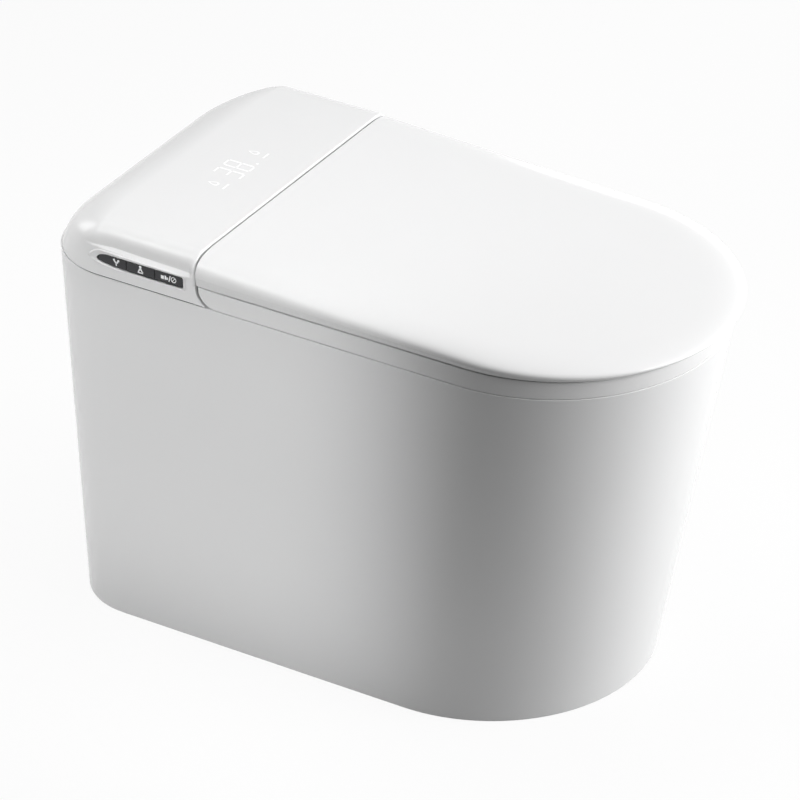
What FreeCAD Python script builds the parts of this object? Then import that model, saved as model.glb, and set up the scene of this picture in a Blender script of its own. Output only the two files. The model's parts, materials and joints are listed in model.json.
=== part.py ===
"""Smart toilet: a ceramic pedestal, a heated seat, a soft-close lid and a rear unit that washes and dries.

Millimetres. The origin is on the floor under the middle of the object, the front points to -Y and up is +Z.
"""
import FreeCAD
import Part
import Sketcher
import math
import os
import re

doc = FreeCAD.newDocument("SmartToilet")

# Driving dimensions
SIZES = [
    ("seam_height", 388.0, "top of the ceramic, where the seat and the rear cover begin"),
    ("seam_half_width", 175.6, "half width of the ceramic at its top"),
    ("seam_front", 324.5, "how far the ceramic's top reaches forward"),
    ("seam_rear", 335.5, "how far the ceramic's top reaches back"),
    ("seam_corner", 82.0, "radius of the rear corners at the top"),
    ("foot_half_width", 167.5, "half width of the ceramic at the floor"),
    ("foot_front", 253.0, "how far the foot reaches forward"),
    ("foot_rear", 314.0, "how far the foot reaches back"),
    ("foot_corner", 72.0, "radius of the rear corners at the floor"),
    ("china_wall", 11.0, "thickness of the ceramic"),
    ("deck_thickness", 30.0, "thickness of the ceramic's top deck"),
    ("bowl_half_width", 121.0, "half width of the bowl's mouth"),
    ("bowl_half_length", 172.0, "half length of the bowl's mouth"),
    ("bowl_centre", 88.0, "how far the middle of the mouth lies in front of the origin"),
    ("bowl_depth", 183.0, "depth of the bowl below the deck"),
    ("sump_half_width", 50.0, "half width of the bowl's floor"),
    ("sump_half_length", 62.0, "half length of the bowl's floor"),
    ("sump_centre", 20.0, "how far the middle of the bowl's floor lies in front of the origin"),
    ("trap_radius", 27.0, "inner radius of the trapway"),
    ("trap_bend", 50.0, "bend radius of the trapway's middle line"),
    ("trap_head", 11.5, "gap between the trapway's crest and the floor of the wand's channel"),
    ("trap_sill", 0.4, "height of the trapway's lower edge above the bowl's floor"),
    ("outlet_back", 140.0, "how far the floor outlet lies behind the origin"),
    ("gasket_radius", 60.0, "outer radius of the outlet seal"),
    ("gasket_height", 14.0, "height of the outlet seal"),
    ("recess_depth", 12.0, "depth of the tray in the deck for the base plate"),
    ("recess_inset", 33.6, "how far the tray's sides lie inside the ceramic's"),
    ("recess_front", 95.0, "front edge of the tray"),
    ("recess_rear", 302.0, "rear edge of the tray"),
    ("well_inset", 36.0, "how far the sides of the tank's hole lie inside the tray's"),
    ("well_front", 190.0, "front edge of the hole"),
    ("well_rear", 293.0, "rear edge of the hole"),
    ("channel_depth", 34.0, "depth of the wash wand's channel in the deck"),
    ("channel_half_width", 25.0, "half width of the wash wand's channel"),
    ("air_channel_depth", 20.0, "depth of the drying air's channel in the deck"),
    ("air_channel_side", 44.0, "inner side of the drying air's channel"),
    ("air_channel_width", 60.0, "width of the drying air's channel"),
    ("plate_thickness", 6.0, "thickness of the base plate"),
    ("plate_gap", 1.0, "gap round the base plate in its tray"),
    ("bracket_inset", 47.5, "how far the floor brackets' middles lie inside the foot's sides"),
    ("bracket_back", 230.0, "how far the floor brackets lie behind the origin"),
    ("bracket_length", 44.0, "length of a floor bracket"),
    ("bracket_thickness", 4.0, "thickness of a floor bracket"),
    ("floor_screw_radius", 4.0, "radius of a floor screw"),
    ("floor_screw_head", 7.5, "radius of a floor screw's head"),
    ("hinge_back", 120.0, "how far the hinge axis lies behind the origin"),
    ("hinge_rise", 22.0, "height of the hinge axis above the seat"),
    ("pin_radius", 2.0, "radius of the hinge pins"),
    ("pin_clearance", 0.08, "running clearance of the ears on the pins"),
    ("eye_radius", 4.3, "outer radius of the hinge eyes"),
    ("post_inset", 56.6, "how far a hinge post's inner side lies inside the ceramic's sides"),
    ("post_width", 11.0, "width of a hinge post"),
    ("stem_rear", 3.2, "how far the posts' stems reach behind the axis"),
    ("ear_width", 8.0, "width of each hinge ear"),
    ("ear_gap", 1.0, "side gap between the hinge eyes"),
    ("damper_length", 34.0, "length of a soft-close damper"),
    ("seat_gap", 1.2, "gap between the ceramic and the seat"),
    ("seat_thickness", 20.8, "thickness of the seat"),
    ("seat_inset", 0.4, "how far the seat's sides stay inside the ceramic's"),
    ("seat_draft", 3.5, "how much the seat's front leans back to the ceramic"),
    ("lid_tail", 19.5, "how far the seat's arms and the lid reach behind the hinge axis"),
    ("seat_heel", 20.0, "radius of the seat arms' lower rear corners"),
    ("seat_split", 7.0, "height of the seat's lower shell"),
    ("seat_skin", 4.0, "skin of the seat's upper shell"),
    ("seat_hole_half_width", 108.0, "half width of the hole in the seat"),
    ("seat_hole_half_length", 148.0, "half length of the hole in the seat"),
    ("seat_hole_centre", 108.0, "how far the middle of the hole lies in front of the origin"),
    ("seat_bridge_rear", 14.0, "how far the seat's rear bridge stays in front of the hinge axis"),
    ("heater_foil", 1.0, "thickness of the seat's heating foil"),
    ("lid_gap", 0.8, "gap between the seat and the lid"),
    ("lid_edge_overhang", 1.3, "how far the lid's lower edge stands out over the ceramic"),
    ("lid_edge_reach", 9.0, "how far the lid's lower edge reaches past the ceramic's front"),
    ("crease_overhang", 3.6, "how far the lid's widest line stands out over the ceramic"),
    ("crease_reach", 11.0, "how far the lid's widest line reaches past the ceramic's front"),
    ("crease_rear_rise", 10.5, "height of the lid's widest line above the seat, at the lid's rear"),
    ("crease_front_rise", 3.0, "height of the lid's widest line above the seat, at the front"),
    ("lid_rear_rise", 30.6, "height of the lid's top above the seat, at its rear edge"),
    ("lid_front_rise", 8.2, "height of the lid's top above the seat, at its front edge"),
    ("lid_roll", 38.0, "width of the lid's rolled edge"),
    ("lid_wall", 3.0, "thickness of the lid's shell"),
    ("lid_skirt_overhang", 0.2, "how far the inside of the lid's skirt stands out"),
    ("liner_thickness", 2.0, "thickness of the lid's liner"),
    ("buffer_radius", 7.0, "radius of the rubber buffers"),
    ("seat_buffer_inset", 33.2, "how far the seat's buffers lie inside the seat's sides"),
    ("seat_buffer_front", 190.0, "front place of the seat's buffers"),
    ("seat_buffer_rear", 40.0, "rear place of the seat's buffers"),
    ("lid_buffer_inset", 45.2, "how far the lid's buffers lie inside the seat's sides"),
    ("lid_buffer_front", 170.0, "front place of the lid's buffers"),
    ("cover_gap", 1.3, "gap between the ceramic and the rear cover"),
    ("cover_seam", 2.1, "gap between the lid and the rear cover's front wall"),
    ("cover_rise", 31.5, "height of the rear cover above the seat"),
    ("cover_overhang", 1.8, "how far the rear cover stands out over the ceramic"),
    ("cover_wall", 3.0, "thickness of the rear cover"),
    ("rear_roll", 75.0, "radius of the roll down to the rear"),
    ("side_roll", 18.0, "radius of the roll down to the sides"),
    ("toe_reach", 15.0, "how far the rear cover's toes reach under the seat arms' heels"),
    ("toe_gap", 1.4, "gap between the toes and the heels"),
    ("key_start", 13.4, "how far the button strip begins behind the rear cover's front wall"),
    ("key_length", 32.2, "length of a button"),
    ("key_height", 10.6, "height of a button"),
    ("key_rise", 21.3, "height of the buttons' middle line above the ceramic"),
    ("key_gap", 0.5, "gap round each button"),
    ("key_depth", 7.0, "depth of a button from its face to its plunger"),
    ("key_recess", 0.8, "how far the buttons' faces lie inside the cover's side"),
    ("key_flange", 1.6, "how far a button's flange reaches past its window"),
    ("key_travel", 1.0, "travel of a button"),
    ("dome_height", 1.2, "height of the silicone domes"),
    ("dome_radius", 4.0, "radius of the silicone domes"),
    ("carrier_thickness", 3.0, "thickness of the button carrier"),
    ("carrier_margin", 4.0, "how far the carrier reaches past the button strip"),
    ("display_back", 202.0, "middle of the display behind the origin"),
    ("display_length", 56.0, "length of the display board, front to rear"),
    ("display_width", 116.0, "width of the display board"),
    ("display_mask", 2.4, "height of the display's light mask"),
    ("circuit_thickness", 1.6, "thickness of the circuit boards"),
    ("wand_slope", 14.0, "slope of the wash wand, in degrees"),
    ("wand_radius", 7.0, "radius of the wash wand"),
    ("wand_length", 190.0, "length of the wash wand"),
    ("wand_travel", 110.0, "travel of the wash wand"),
    ("wand_front_back", 100.0, "front end of the parked wand, behind the origin"),
    ("wand_drop", 16.0, "how far the parked wand's front end lies below the ceramic's top"),
    ("wand_clearance", 0.08, "running clearance of the wand in its guide"),
    ("tip_length", 16.0, "length of the wand's tip"),
    ("jet_radius", 0.9, "radius of the wand's jets"),
    ("guide_length", 116.0, "length of the wand's guide"),
    ("guide_width", 30.0, "width of the wand's guide"),
    ("guide_height", 26.0, "height of the wand's guide"),
    ("guide_start", 24.0, "distance from the parked wand's front to the guide"),
    ("rack_height", 4.0, "height of the wand's rack above its round"),
    ("rack_width", 5.0, "width of the wand's rack"),
    ("tooth_pitch", 4.0, "pitch of the rack and of the pinion"),
    ("pinion_teeth", 12, "teeth of the pinion"),
    ("tooth_height", 2.2, "height of the teeth"),
    ("pinion_width", 4.4, "width of the pinion"),
    ("pinion_gap", 0.5, "gap between the tips and the roots of the teeth"),
    ("pinion_place", 46.0, "distance from the guide's front to the pinion"),
    ("pinion_shaft", 2.0, "radius of the pinion's shaft"),
    ("motor_radius", 11.0, "radius of the wand's motor"),
    ("motor_length", 24.0, "length of the wand's motor"),
    ("fan_side", 74.0, "side place of the fan"),
    ("fan_back", 190.0, "place of the fan behind the origin"),
    ("fan_radius", 30.0, "outer radius of the fan's casing"),
    ("fan_height", 30.0, "height of the fan's casing"),
    ("fan_wall", 2.0, "wall of the fan's casing"),
    ("impeller_gap", 2.0, "gap round the impeller"),
    ("impeller_hub", 8.0, "radius of the impeller's hub"),
    ("impeller_blades", 11, "blades of the impeller"),
    ("blade_thickness", 1.6, "thickness of an impeller blade"),
    ("fan_shaft", 2.0, "radius of the fan's shaft"),
    ("outlet_height", 16.0, "height of the fan's outlet"),
    ("riser_front", 146.0, "front of the air duct's riser"),
    ("riser_length", 14.0, "length of the air duct's riser, front to rear"),
    ("duct_width", 50.0, "width of the air duct"),
    ("duct_height", 15.0, "height of the air duct"),
    ("duct_wall", 1.8, "wall of the air duct"),
    ("duct_front", 98.0, "front end of the air duct"),
    ("flap_thickness", 1.8, "thickness of the outlet flap"),
    ("flap_pin", 1.2, "radius of the flap's pin"),
    ("flap_gap", 0.6, "gap between the flap and the duct"),
    ("cheek_length", 5.0, "how far the duct's cheeks reach in front of it"),
    ("guide_foot", 9.0, "how far the guide's feet reach past the slot in the base plate"),
    ("guide_foot_height", 4.0, "height of the guide's feet"),
    ("guide_foot_back", 165.0, "front of the guide's feet"),
    ("guide_foot_length", 20.0, "length of the guide's feet"),
    ("spacer_radius", 3.0, "radius of the control board's spacers"),
    ("chip_height", 5.0, "height of the parts on the control board"),
    ("gland_length", 28.0, "length of the cord gland"),
    ("link_radius", 5.0, "radius of the pipe from the valve to the heater"),
    ("hose_seat", 7.6, "how far the flush hose's end stays outside the bowl's inner face"),
    ("heater_inset", 34.0, "how far the water heater's middle lies inside the tray's side"),
    ("heater_back", 254.0, "place of the water heater behind the origin"),
    ("heater_length", 56.0, "length of the water heater"),
    ("heater_width", 44.0, "width of the water heater"),
    ("heater_height", 34.0, "height of the water heater"),
    ("supply_inset", 42.0, "how far the power supply's middle lies inside the tray's side"),
    ("supply_back", 240.0, "place of the power supply behind the origin"),
    ("supply_length", 76.0, "length of the power supply"),
    ("supply_width", 50.0, "width of the power supply"),
    ("supply_height", 30.0, "height of the power supply"),
    ("board_back", 276.0, "place of the control board behind the origin"),
    ("board_side", 0.0, "side place of the control board"),
    ("board_length", 34.0, "length of the control board, front to rear"),
    ("board_gap", 5.0, "gap between the control board and the inlet valve"),
    ("board_lift", 8.0, "height of the control board's spacers"),
    ("link_length", 5.0, "length of the pipe from the inlet valve to the water heater"),
    ("valve_back", 265.0, "place of the inlet valve behind the origin"),
    ("valve_width", 30.0, "width of the inlet valve"),
    ("valve_length", 24.0, "length of the inlet valve"),
    ("valve_height", 33.0, "height of the inlet valve"),
    ("inlet_radius", 10.48, "outer radius of the half-inch inlet thread"),
    ("inlet_bore", 6.0, "bore of the inlet"),
    ("inlet_neck", 9.0, "radius of the inlet's neck behind its thread"),
    ("inlet_thread", 20.0, "length of the inlet's thread"),
    ("inlet_collar", 16.0, "radius of the hole in the rear cover round the inlet"),
    ("inlet_rise", 15.0, "height of the inlet's middle above the ceramic"),
    ("inlet_short", 21.5, "how far the inlet's end stays in front of the ceramic's rear"),
    ("gland_rise", 15.0, "height of the mains cord gland above the ceramic"),
    ("gland_radius", 8.0, "outer radius of the gland"),
    ("gland_bore", 4.0, "bore of the gland"),
    ("tank_gap", 4.0, "gap between the flush tank and the hole it hangs in"),
    ("tank_depth", 190.0, "depth of the flush tank"),
    ("tank_wall", 3.0, "wall of the flush tank"),
    ("pump_radius", 30.0, "radius of the flush pump"),
    ("pump_height", 80.0, "height of the flush pump"),
    ("pump_gap", 9.0, "gap between the flush pump and the tank's side"),
    ("hose_radius", 9.0, "outer radius of the flush hose"),
    ("hose_bore", 6.5, "bore of the flush hose"),
    ("hose_bend", 30.0, "bend radius of the flush hose"),
    ("hose_drop", 50.0, "how far the flush hose's run lies below the ceramic's top"),
    ("screw_radius", 1.8, "radius of the base plate's screws"),
    ("screw_head", 3.6, "radius of the heads of the base plate's screws"),
    ("screw_inset", 14.0, "how far the base plate's screws lie inside the tray's sides"),
    ("screw_front", 152.0, "front place of the base plate's screws"),
    ("screw_rear", 292.0, "rear place of the base plate's screws"),
]

# Places that follow from the driving dimensions
FOLLOWING = [
    ("seat_top", "seam_height + seat_gap + seat_thickness", "height of the seat"),
    ("hinge_height", "seat_top + hinge_rise", "height of the hinge axis"),
    ("crease_rear_height", "seat_top + crease_rear_rise", "height of the lid's widest line at the rear"),
    ("crease_front_height", "seat_top + crease_front_rise", "height of the lid's widest line at the front"),
    ("lid_rear_height", "seat_top + lid_rear_rise", "height of the lid's top at its rear edge"),
    ("lid_front_height", "seat_top + lid_front_rise", "height of the lid's top at its front edge"),
    ("cover_top", "seat_top + cover_rise", "height of the rear cover"),
    ("seat_half_width", "seam_half_width - seat_inset", "half width of the seat"),
    ("lid_edge_half_width", "seam_half_width + lid_edge_overhang", "half width of the lid's lower edge"),
    ("crease_half_width", "seam_half_width + crease_overhang", "half width of the lid at its widest line"),
    ("lid_skirt_inner", "seam_half_width + lid_skirt_overhang", "half width inside the lid's skirt"),
    ("cover_half_width", "seam_half_width + cover_overhang", "half width of the rear cover"),
    ("post_inner", "seam_half_width - post_inset", "inner side of a hinge post"),
    ("seat_front", "seam_front + seat_draft", "how far the seat reaches forward"),
    ("lid_edge_front", "seam_front + lid_edge_reach", "how far the lid's lower edge reaches forward"),
    ("crease_front", "seam_front + crease_reach", "how far the lid's widest line reaches forward"),
    ("seat_rear", "hinge_back + lid_tail", "rear end of the seat's arms and of the lid"),
    ("cover_front", "seat_rear + cover_seam", "front wall of the rear cover"),
    ("recess_half_width", "seam_half_width - recess_inset", "half width of the tray"),
    ("key_front", "cover_front + key_start", "front end of the button strip"),
    ("key_level", "seam_height + key_rise", "height of the buttons' middle line"),
    ("wand_front_height", "seam_height - wand_drop", "height of the parked wand's front end"),
    ("inlet_height", "seam_height + inlet_rise", "height of the inlet's middle"),
    ("gland_height", "seam_height + gland_rise", "height of the mains cord gland"),
    ("inlet_end", "seam_rear - inlet_short", "rear end of the inlet"),
    ("hose_height", "seam_height - hose_drop", "height of the flush hose's run"),
    ("trap_inlet_height", "seam_height - bowl_depth + trap_sill + trap_radius",
     "height of the trapway's mouth"),
    ("trap_centre", "seam_height - channel_depth - 2 * china_wall - trap_head - trap_radius - trap_bend",
     "height of the trapway's bend, where its straight leg to the floor begins"),
    ("well_half_width", "recess_half_width - well_inset", "half width of the hole in the tray for the tank"),
    ("tank_half_width", "well_half_width - tank_gap", "half width of the flush tank"),
    ("tank_front", "well_front + tank_gap", "front of the flush tank"),
    ("tank_rear", "well_rear - tank_gap", "rear of the flush tank"),
    ("bracket_side", "foot_half_width - bracket_inset", "side place of the floor brackets"),
    ("seat_buffer_side", "seat_half_width - seat_buffer_inset", "side place of the seat's buffers"),
    ("lid_buffer_side", "seat_half_width - lid_buffer_inset", "side place of the lid's buffers"),
    ("screw_side", "recess_half_width - screw_inset", "side place of the base plate's screws"),
    ("heater_side", "recess_half_width - heater_inset", "side place of the water heater"),
    ("supply_side", "recess_half_width - supply_inset", "side place of the power supply"),
    ("gland_side", "supply_side", "side place of the mains cord gland"),
    ("gland_front", "supply_back + supply_length / 2",
     "inner end of the cord gland, on the power supply's rear"),
    ("valve_side", "heater_side - heater_width / 2 - link_length - valve_width / 2",
     "side place of the inlet valve"),
    ("board_width", "2 * (valve_side - valve_width / 2 - board_gap)", "width of the control board"),
    ("pump_side", "tank_half_width - tank_wall - pump_radius - pump_gap", "side place of the flush pump"),
    ("port_share", "1 - 0.25 * hose_drop / bowl_depth", "how wide the bowl still is at the hose's height"),
    ("port_half_width", "sump_half_width + (bowl_half_width - sump_half_width) * port_share + hose_seat",
     "half width of the bowl where the hose ends"),
    ("port_half_length", "sump_half_length + (bowl_half_length - sump_half_length) * port_share + hose_seat",
     "half length of the bowl where the hose ends"),
    ("port_centre", "bowl_centre + (sump_centre - bowl_centre) * 0.1875 * hose_drop / bowl_depth",
     "how far the middle of the bowl lies in front of the origin at the hose's height"),
    ("hose_end", "port_half_length * sqrt(1 - (pump_side / port_half_width) ^ 2) - port_centre",
     "end of the flush hose in the bowl's wall"),
]

sheet = doc.addObject("Spreadsheet::Sheet", "Sizes")
ENTRIES = [(alias, str(value), note) for alias, value, note in SIZES]
ENTRIES += [(alias, "=" + rule, note) for alias, rule, note in FOLLOWING]
for row, (alias, entry, note) in enumerate(ENTRIES, start=1):
    sheet.set(f"A{row}", note)
    sheet.set(f"B{row}", entry)
    sheet.setAlias(f"B{row}", alias)
doc.recompute()
ALIASES = {alias for alias, entry, note in ENTRIES}

# Levels that several pieces share, written as formulas of the driving dimensions
PLATE_LOW = "(seam_height - recess_depth)"
PLATE_TOP = "(seam_height - recess_depth + plate_thickness)"
SEAT_LOW = "(seam_height + seat_gap)"
SEAT_SPLIT = "(seam_height + seat_gap + seat_split)"
LID_LOW = "(seat_top + lid_gap)"
COVER_LOW = "(seam_height + cover_gap)"
COVER_IN_TOP = "(cover_top - cover_wall)"
COVER_IN_SIDE = "(cover_half_width - cover_wall)"
POST_OUTER = "(post_inner + post_width)"
SEAT_EAR = "(post_inner + post_width + ear_gap)"
LID_EAR = "(post_inner + post_width + 2 * ear_gap + ear_width)"
SEAT_ARM = "(post_inner + post_width + ear_gap)"
BRIDGE_REAR = "(hinge_back - seat_bridge_rear)"
ABOVE_ALL = "(cover_top + rear_roll)"


def formula(text):
    """A formula of size names, written the way the expression engine reads it."""
    def named(match):
        word = match.group(0)
        return "Sizes." + word if word in ALIASES else word
    return re.sub(r"[a-z][a-z0-9_]*", named, text)


def number(text):
    """The present value of a formula of size names."""
    return float(sheet.evalExpression(formula(text)))


def bind(piece, path, text):
    """Binds one property of a piece to a formula of size names."""
    piece.setExpression(path, formula(text))


def place(piece, x, y, z):
    """Binds the three coordinates of a piece's placement."""
    bind(piece, "Placement.Base.x", x)
    bind(piece, "Placement.Base.y", y)
    bind(piece, "Placement.Base.z", z)


def box(name, x_span, y_span, z_span):
    """A box between a low and a high formula on each axis."""
    piece = doc.addObject("Part::Box", name)
    spans = (x_span, y_span, z_span)
    for path, (low, high) in zip(("Length", "Width", "Height"), spans):
        bind(piece, path, f"({high}) - ({low})")
    place(piece, x_span[0], y_span[0], z_span[0])
    return piece


TURNS = {
    "x": FreeCAD.Rotation(FreeCAD.Vector(0, 1, 0), 90),
    "y": FreeCAD.Rotation(FreeCAD.Vector(1, 0, 0), -90),
    "z": FreeCAD.Rotation(),
}


def cylinder(name, axis, radius, start, length):
    """A cylinder that starts at a point and runs along +X, +Y or +Z."""
    piece = doc.addObject("Part::Cylinder", name)
    bind(piece, "Radius", radius)
    bind(piece, "Height", length)
    piece.Placement = FreeCAD.Placement(FreeCAD.Vector(), TURNS[axis])
    place(piece, *start)
    return piece


def fuse(name, pieces):
    """One solid from pieces that meet."""
    joined = doc.addObject("Part::MultiFuse", name)
    joined.Shapes = pieces
    joined.Refine = True
    return joined


def group(name, pieces):
    """Separate solids kept as one node."""
    together = doc.addObject("Part::Compound", name)
    together.Links = pieces
    return together


def common(name, pieces):
    """What several pieces share."""
    shared = doc.addObject("Part::MultiCommon", name)
    shared.Shapes = pieces
    return shared


def cut(name, base, tools):
    """A piece with other pieces taken out of it."""
    tool = tools[0]
    if len(tools) > 1:
        tool = doc.addObject("Part::MultiFuse", name + "_tools")
        tool.Shapes = tools
    result = doc.addObject("Part::Cut", name)
    result.Base = base
    result.Tool = tool
    return result


def datum(sketch, kind, where, label, text):
    """A named dimension of a sketch, bound to a formula."""
    index = sketch.addConstraint(Sketcher.Constraint(kind, *where, number(text)))
    sketch.renameConstraint(index, label)
    bind(sketch, "Constraints." + label, text)


def draw_outline(sketch, half_width, front, rear, corner):
    """Round nose towards -Y, straight sides, and two rounded rear corners."""
    half = number(half_width)
    nose = half - number(front)
    back = number(rear)
    round_off = number(corner)
    up = FreeCAD.Vector(0, 0, 1)
    right_corner = FreeCAD.Vector(half - round_off, back - round_off)
    left_corner = FreeCAD.Vector(round_off - half, back - round_off)

    def arc(centre, radius, start, end):
        circle = Part.Circle(centre, up, radius)
        return Part.ArcOfCircle(circle, math.radians(start), math.radians(end))

    def line(x1, y1, x2, y2):
        return Part.LineSegment(FreeCAD.Vector(x1, y1), FreeCAD.Vector(x2, y2))

    sketch.addGeometry([
        arc(FreeCAD.Vector(0, nose), half, 180, 360),
        line(half, nose, half, back - round_off),
        arc(right_corner, round_off, 0, 90),
        line(half - round_off, back, round_off - half, back),
        arc(left_corner, round_off, 90, 180),
        line(-half, back - round_off, -half, nose),
    ])
    for first in range(6):
        sketch.addConstraint(Sketcher.Constraint("Tangent", first, 2, (first + 1) % 6, 1))
    sketch.addConstraint(Sketcher.Constraint("PointOnObject", 0, 3, -2))
    sketch.addConstraint(Sketcher.Constraint("Vertical", 1))
    sketch.addConstraint(Sketcher.Constraint("Horizontal", 3))
    sketch.addConstraint(Sketcher.Constraint("Vertical", 5))
    sketch.addConstraint(Sketcher.Constraint("Equal", 2, 4))
    datum(sketch, "Radius", (0,), "half_width", half_width)
    datum(sketch, "Radius", (2,), "corner", corner)
    datum(sketch, "DistanceY", (0, 3, -1, 1), "nose", f"({front}) - ({half_width})")
    datum(sketch, "DistanceY", (-1, 1, 3, 1), "rear", rear)


def outline(name, half_width, front, rear, corner, height):
    """A level outline of the toilet at a height."""
    sketch = doc.addObject("Sketcher::SketchObject", name)
    draw_outline(sketch, half_width, front, rear, corner)
    bind(sketch, "Placement.Base.z", height)
    return sketch


def tilted_outline(name, half_width, front, rear, corner, rear_height, front_height):
    """An outline on a plane that falls from the lid's rear edge to the toilet's front."""
    sketch = doc.addObject("Sketcher::SketchObject", name)
    draw_outline(sketch, half_width, front, rear, corner)
    slope = f"(({rear_height}) - ({front_height})) / (seat_rear + crease_front)"
    sketch.Placement = FreeCAD.Placement(FreeCAD.Vector(), FreeCAD.Rotation(FreeCAD.Vector(1, 0, 0), 1))
    bind(sketch, "Placement.Rotation.Angle", f"atan({slope})")
    bind(sketch, "Placement.Base.z", f"({rear_height}) - seat_rear * {slope}")
    return sketch


def loft(name, sections, ruled=True):
    """A solid through a row of outlines."""
    piece = doc.addObject("Part::Loft", name)
    piece.Sections = sections
    piece.Solid = True
    piece.Ruled = ruled
    return piece


def ellipse(name, half_width, half_length, forward, height):
    """A level ellipse, longer from front to rear than from side to side."""
    ring = doc.addObject("Part::Ellipse", name)
    bind(ring, "MajorRadius", half_length)
    bind(ring, "MinorRadius", half_width)
    ring.Placement = FreeCAD.Placement(FreeCAD.Vector(), FreeCAD.Rotation(FreeCAD.Vector(0, 0, 1), 90))
    bind(ring, "Placement.Base.y", f"-({forward})")
    bind(ring, "Placement.Base.z", height)
    return ring


def finish(name, piece):
    """Gives a finished sub-part its name."""
    piece.Label = name
    PARTS.append(piece)
    return piece


def origin_plane(body, role):
    """One of a body's own origin planes."""
    return next(plane for plane in body.Origin.OriginFeatures if plane.Role == role)


def sketch_on(body, name, role, offset):
    """A sketch on one of a body's origin planes, moved along its normal by a formula."""
    sketch = body.newObject("Sketcher::SketchObject", name)
    sketch.AttachmentSupport = [(origin_plane(body, role), "")]
    sketch.MapMode = "FlatFace"
    bind(sketch, "AttachmentOffset.Base.z", offset)
    return sketch


def draw_circle(sketch, x, y, radius):
    """A circle with a bound centre and radius."""
    centre = FreeCAD.Vector(number(x), number(y))
    index = sketch.addGeometry(Part.Circle(centre, FreeCAD.Vector(0, 0, 1), number(radius)))
    datum(sketch, "Radius", (index,), f"radius_{index}", radius)
    datum(sketch, "DistanceX", (-1, 1, index, 3), f"across_{index}", x)
    datum(sketch, "DistanceY", (-1, 1, index, 3), f"along_{index}", y)


def draw_polygon(sketch, corners):
    """A closed polygon whose corners are all bound."""
    points = [FreeCAD.Vector(number(x), number(y)) for x, y in corners]
    count = len(points)
    start = sketch.GeometryCount
    for index in range(count):
        sketch.addGeometry(Part.LineSegment(points[index], points[(index + 1) % count]))
    for index in range(count):
        after = start + (index + 1) % count
        sketch.addConstraint(Sketcher.Constraint("Coincident", start + index, 2, after, 1))
    for index, (x, y) in enumerate(corners):
        line = start + index
        datum(sketch, "DistanceX", (-1, 1, line, 1), f"across_{line}", x)
        datum(sketch, "DistanceY", (-1, 1, line, 1), f"along_{line}", y)


def pad(body, name, sketch, length, back=False):
    """A pad of a bound length."""
    feature = body.newObject("PartDesign::Pad", name)
    feature.Profile = sketch
    feature.Reversed = back
    bind(feature, "Length", length)
    return feature


def pocket(body, name, sketch, length, back=False):
    """A pocket of a bound depth."""
    feature = body.newObject("PartDesign::Pocket", name)
    feature.Profile = sketch
    feature.Reversed = back
    bind(feature, "Length", length)
    return feature


PARTS = []


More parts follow.
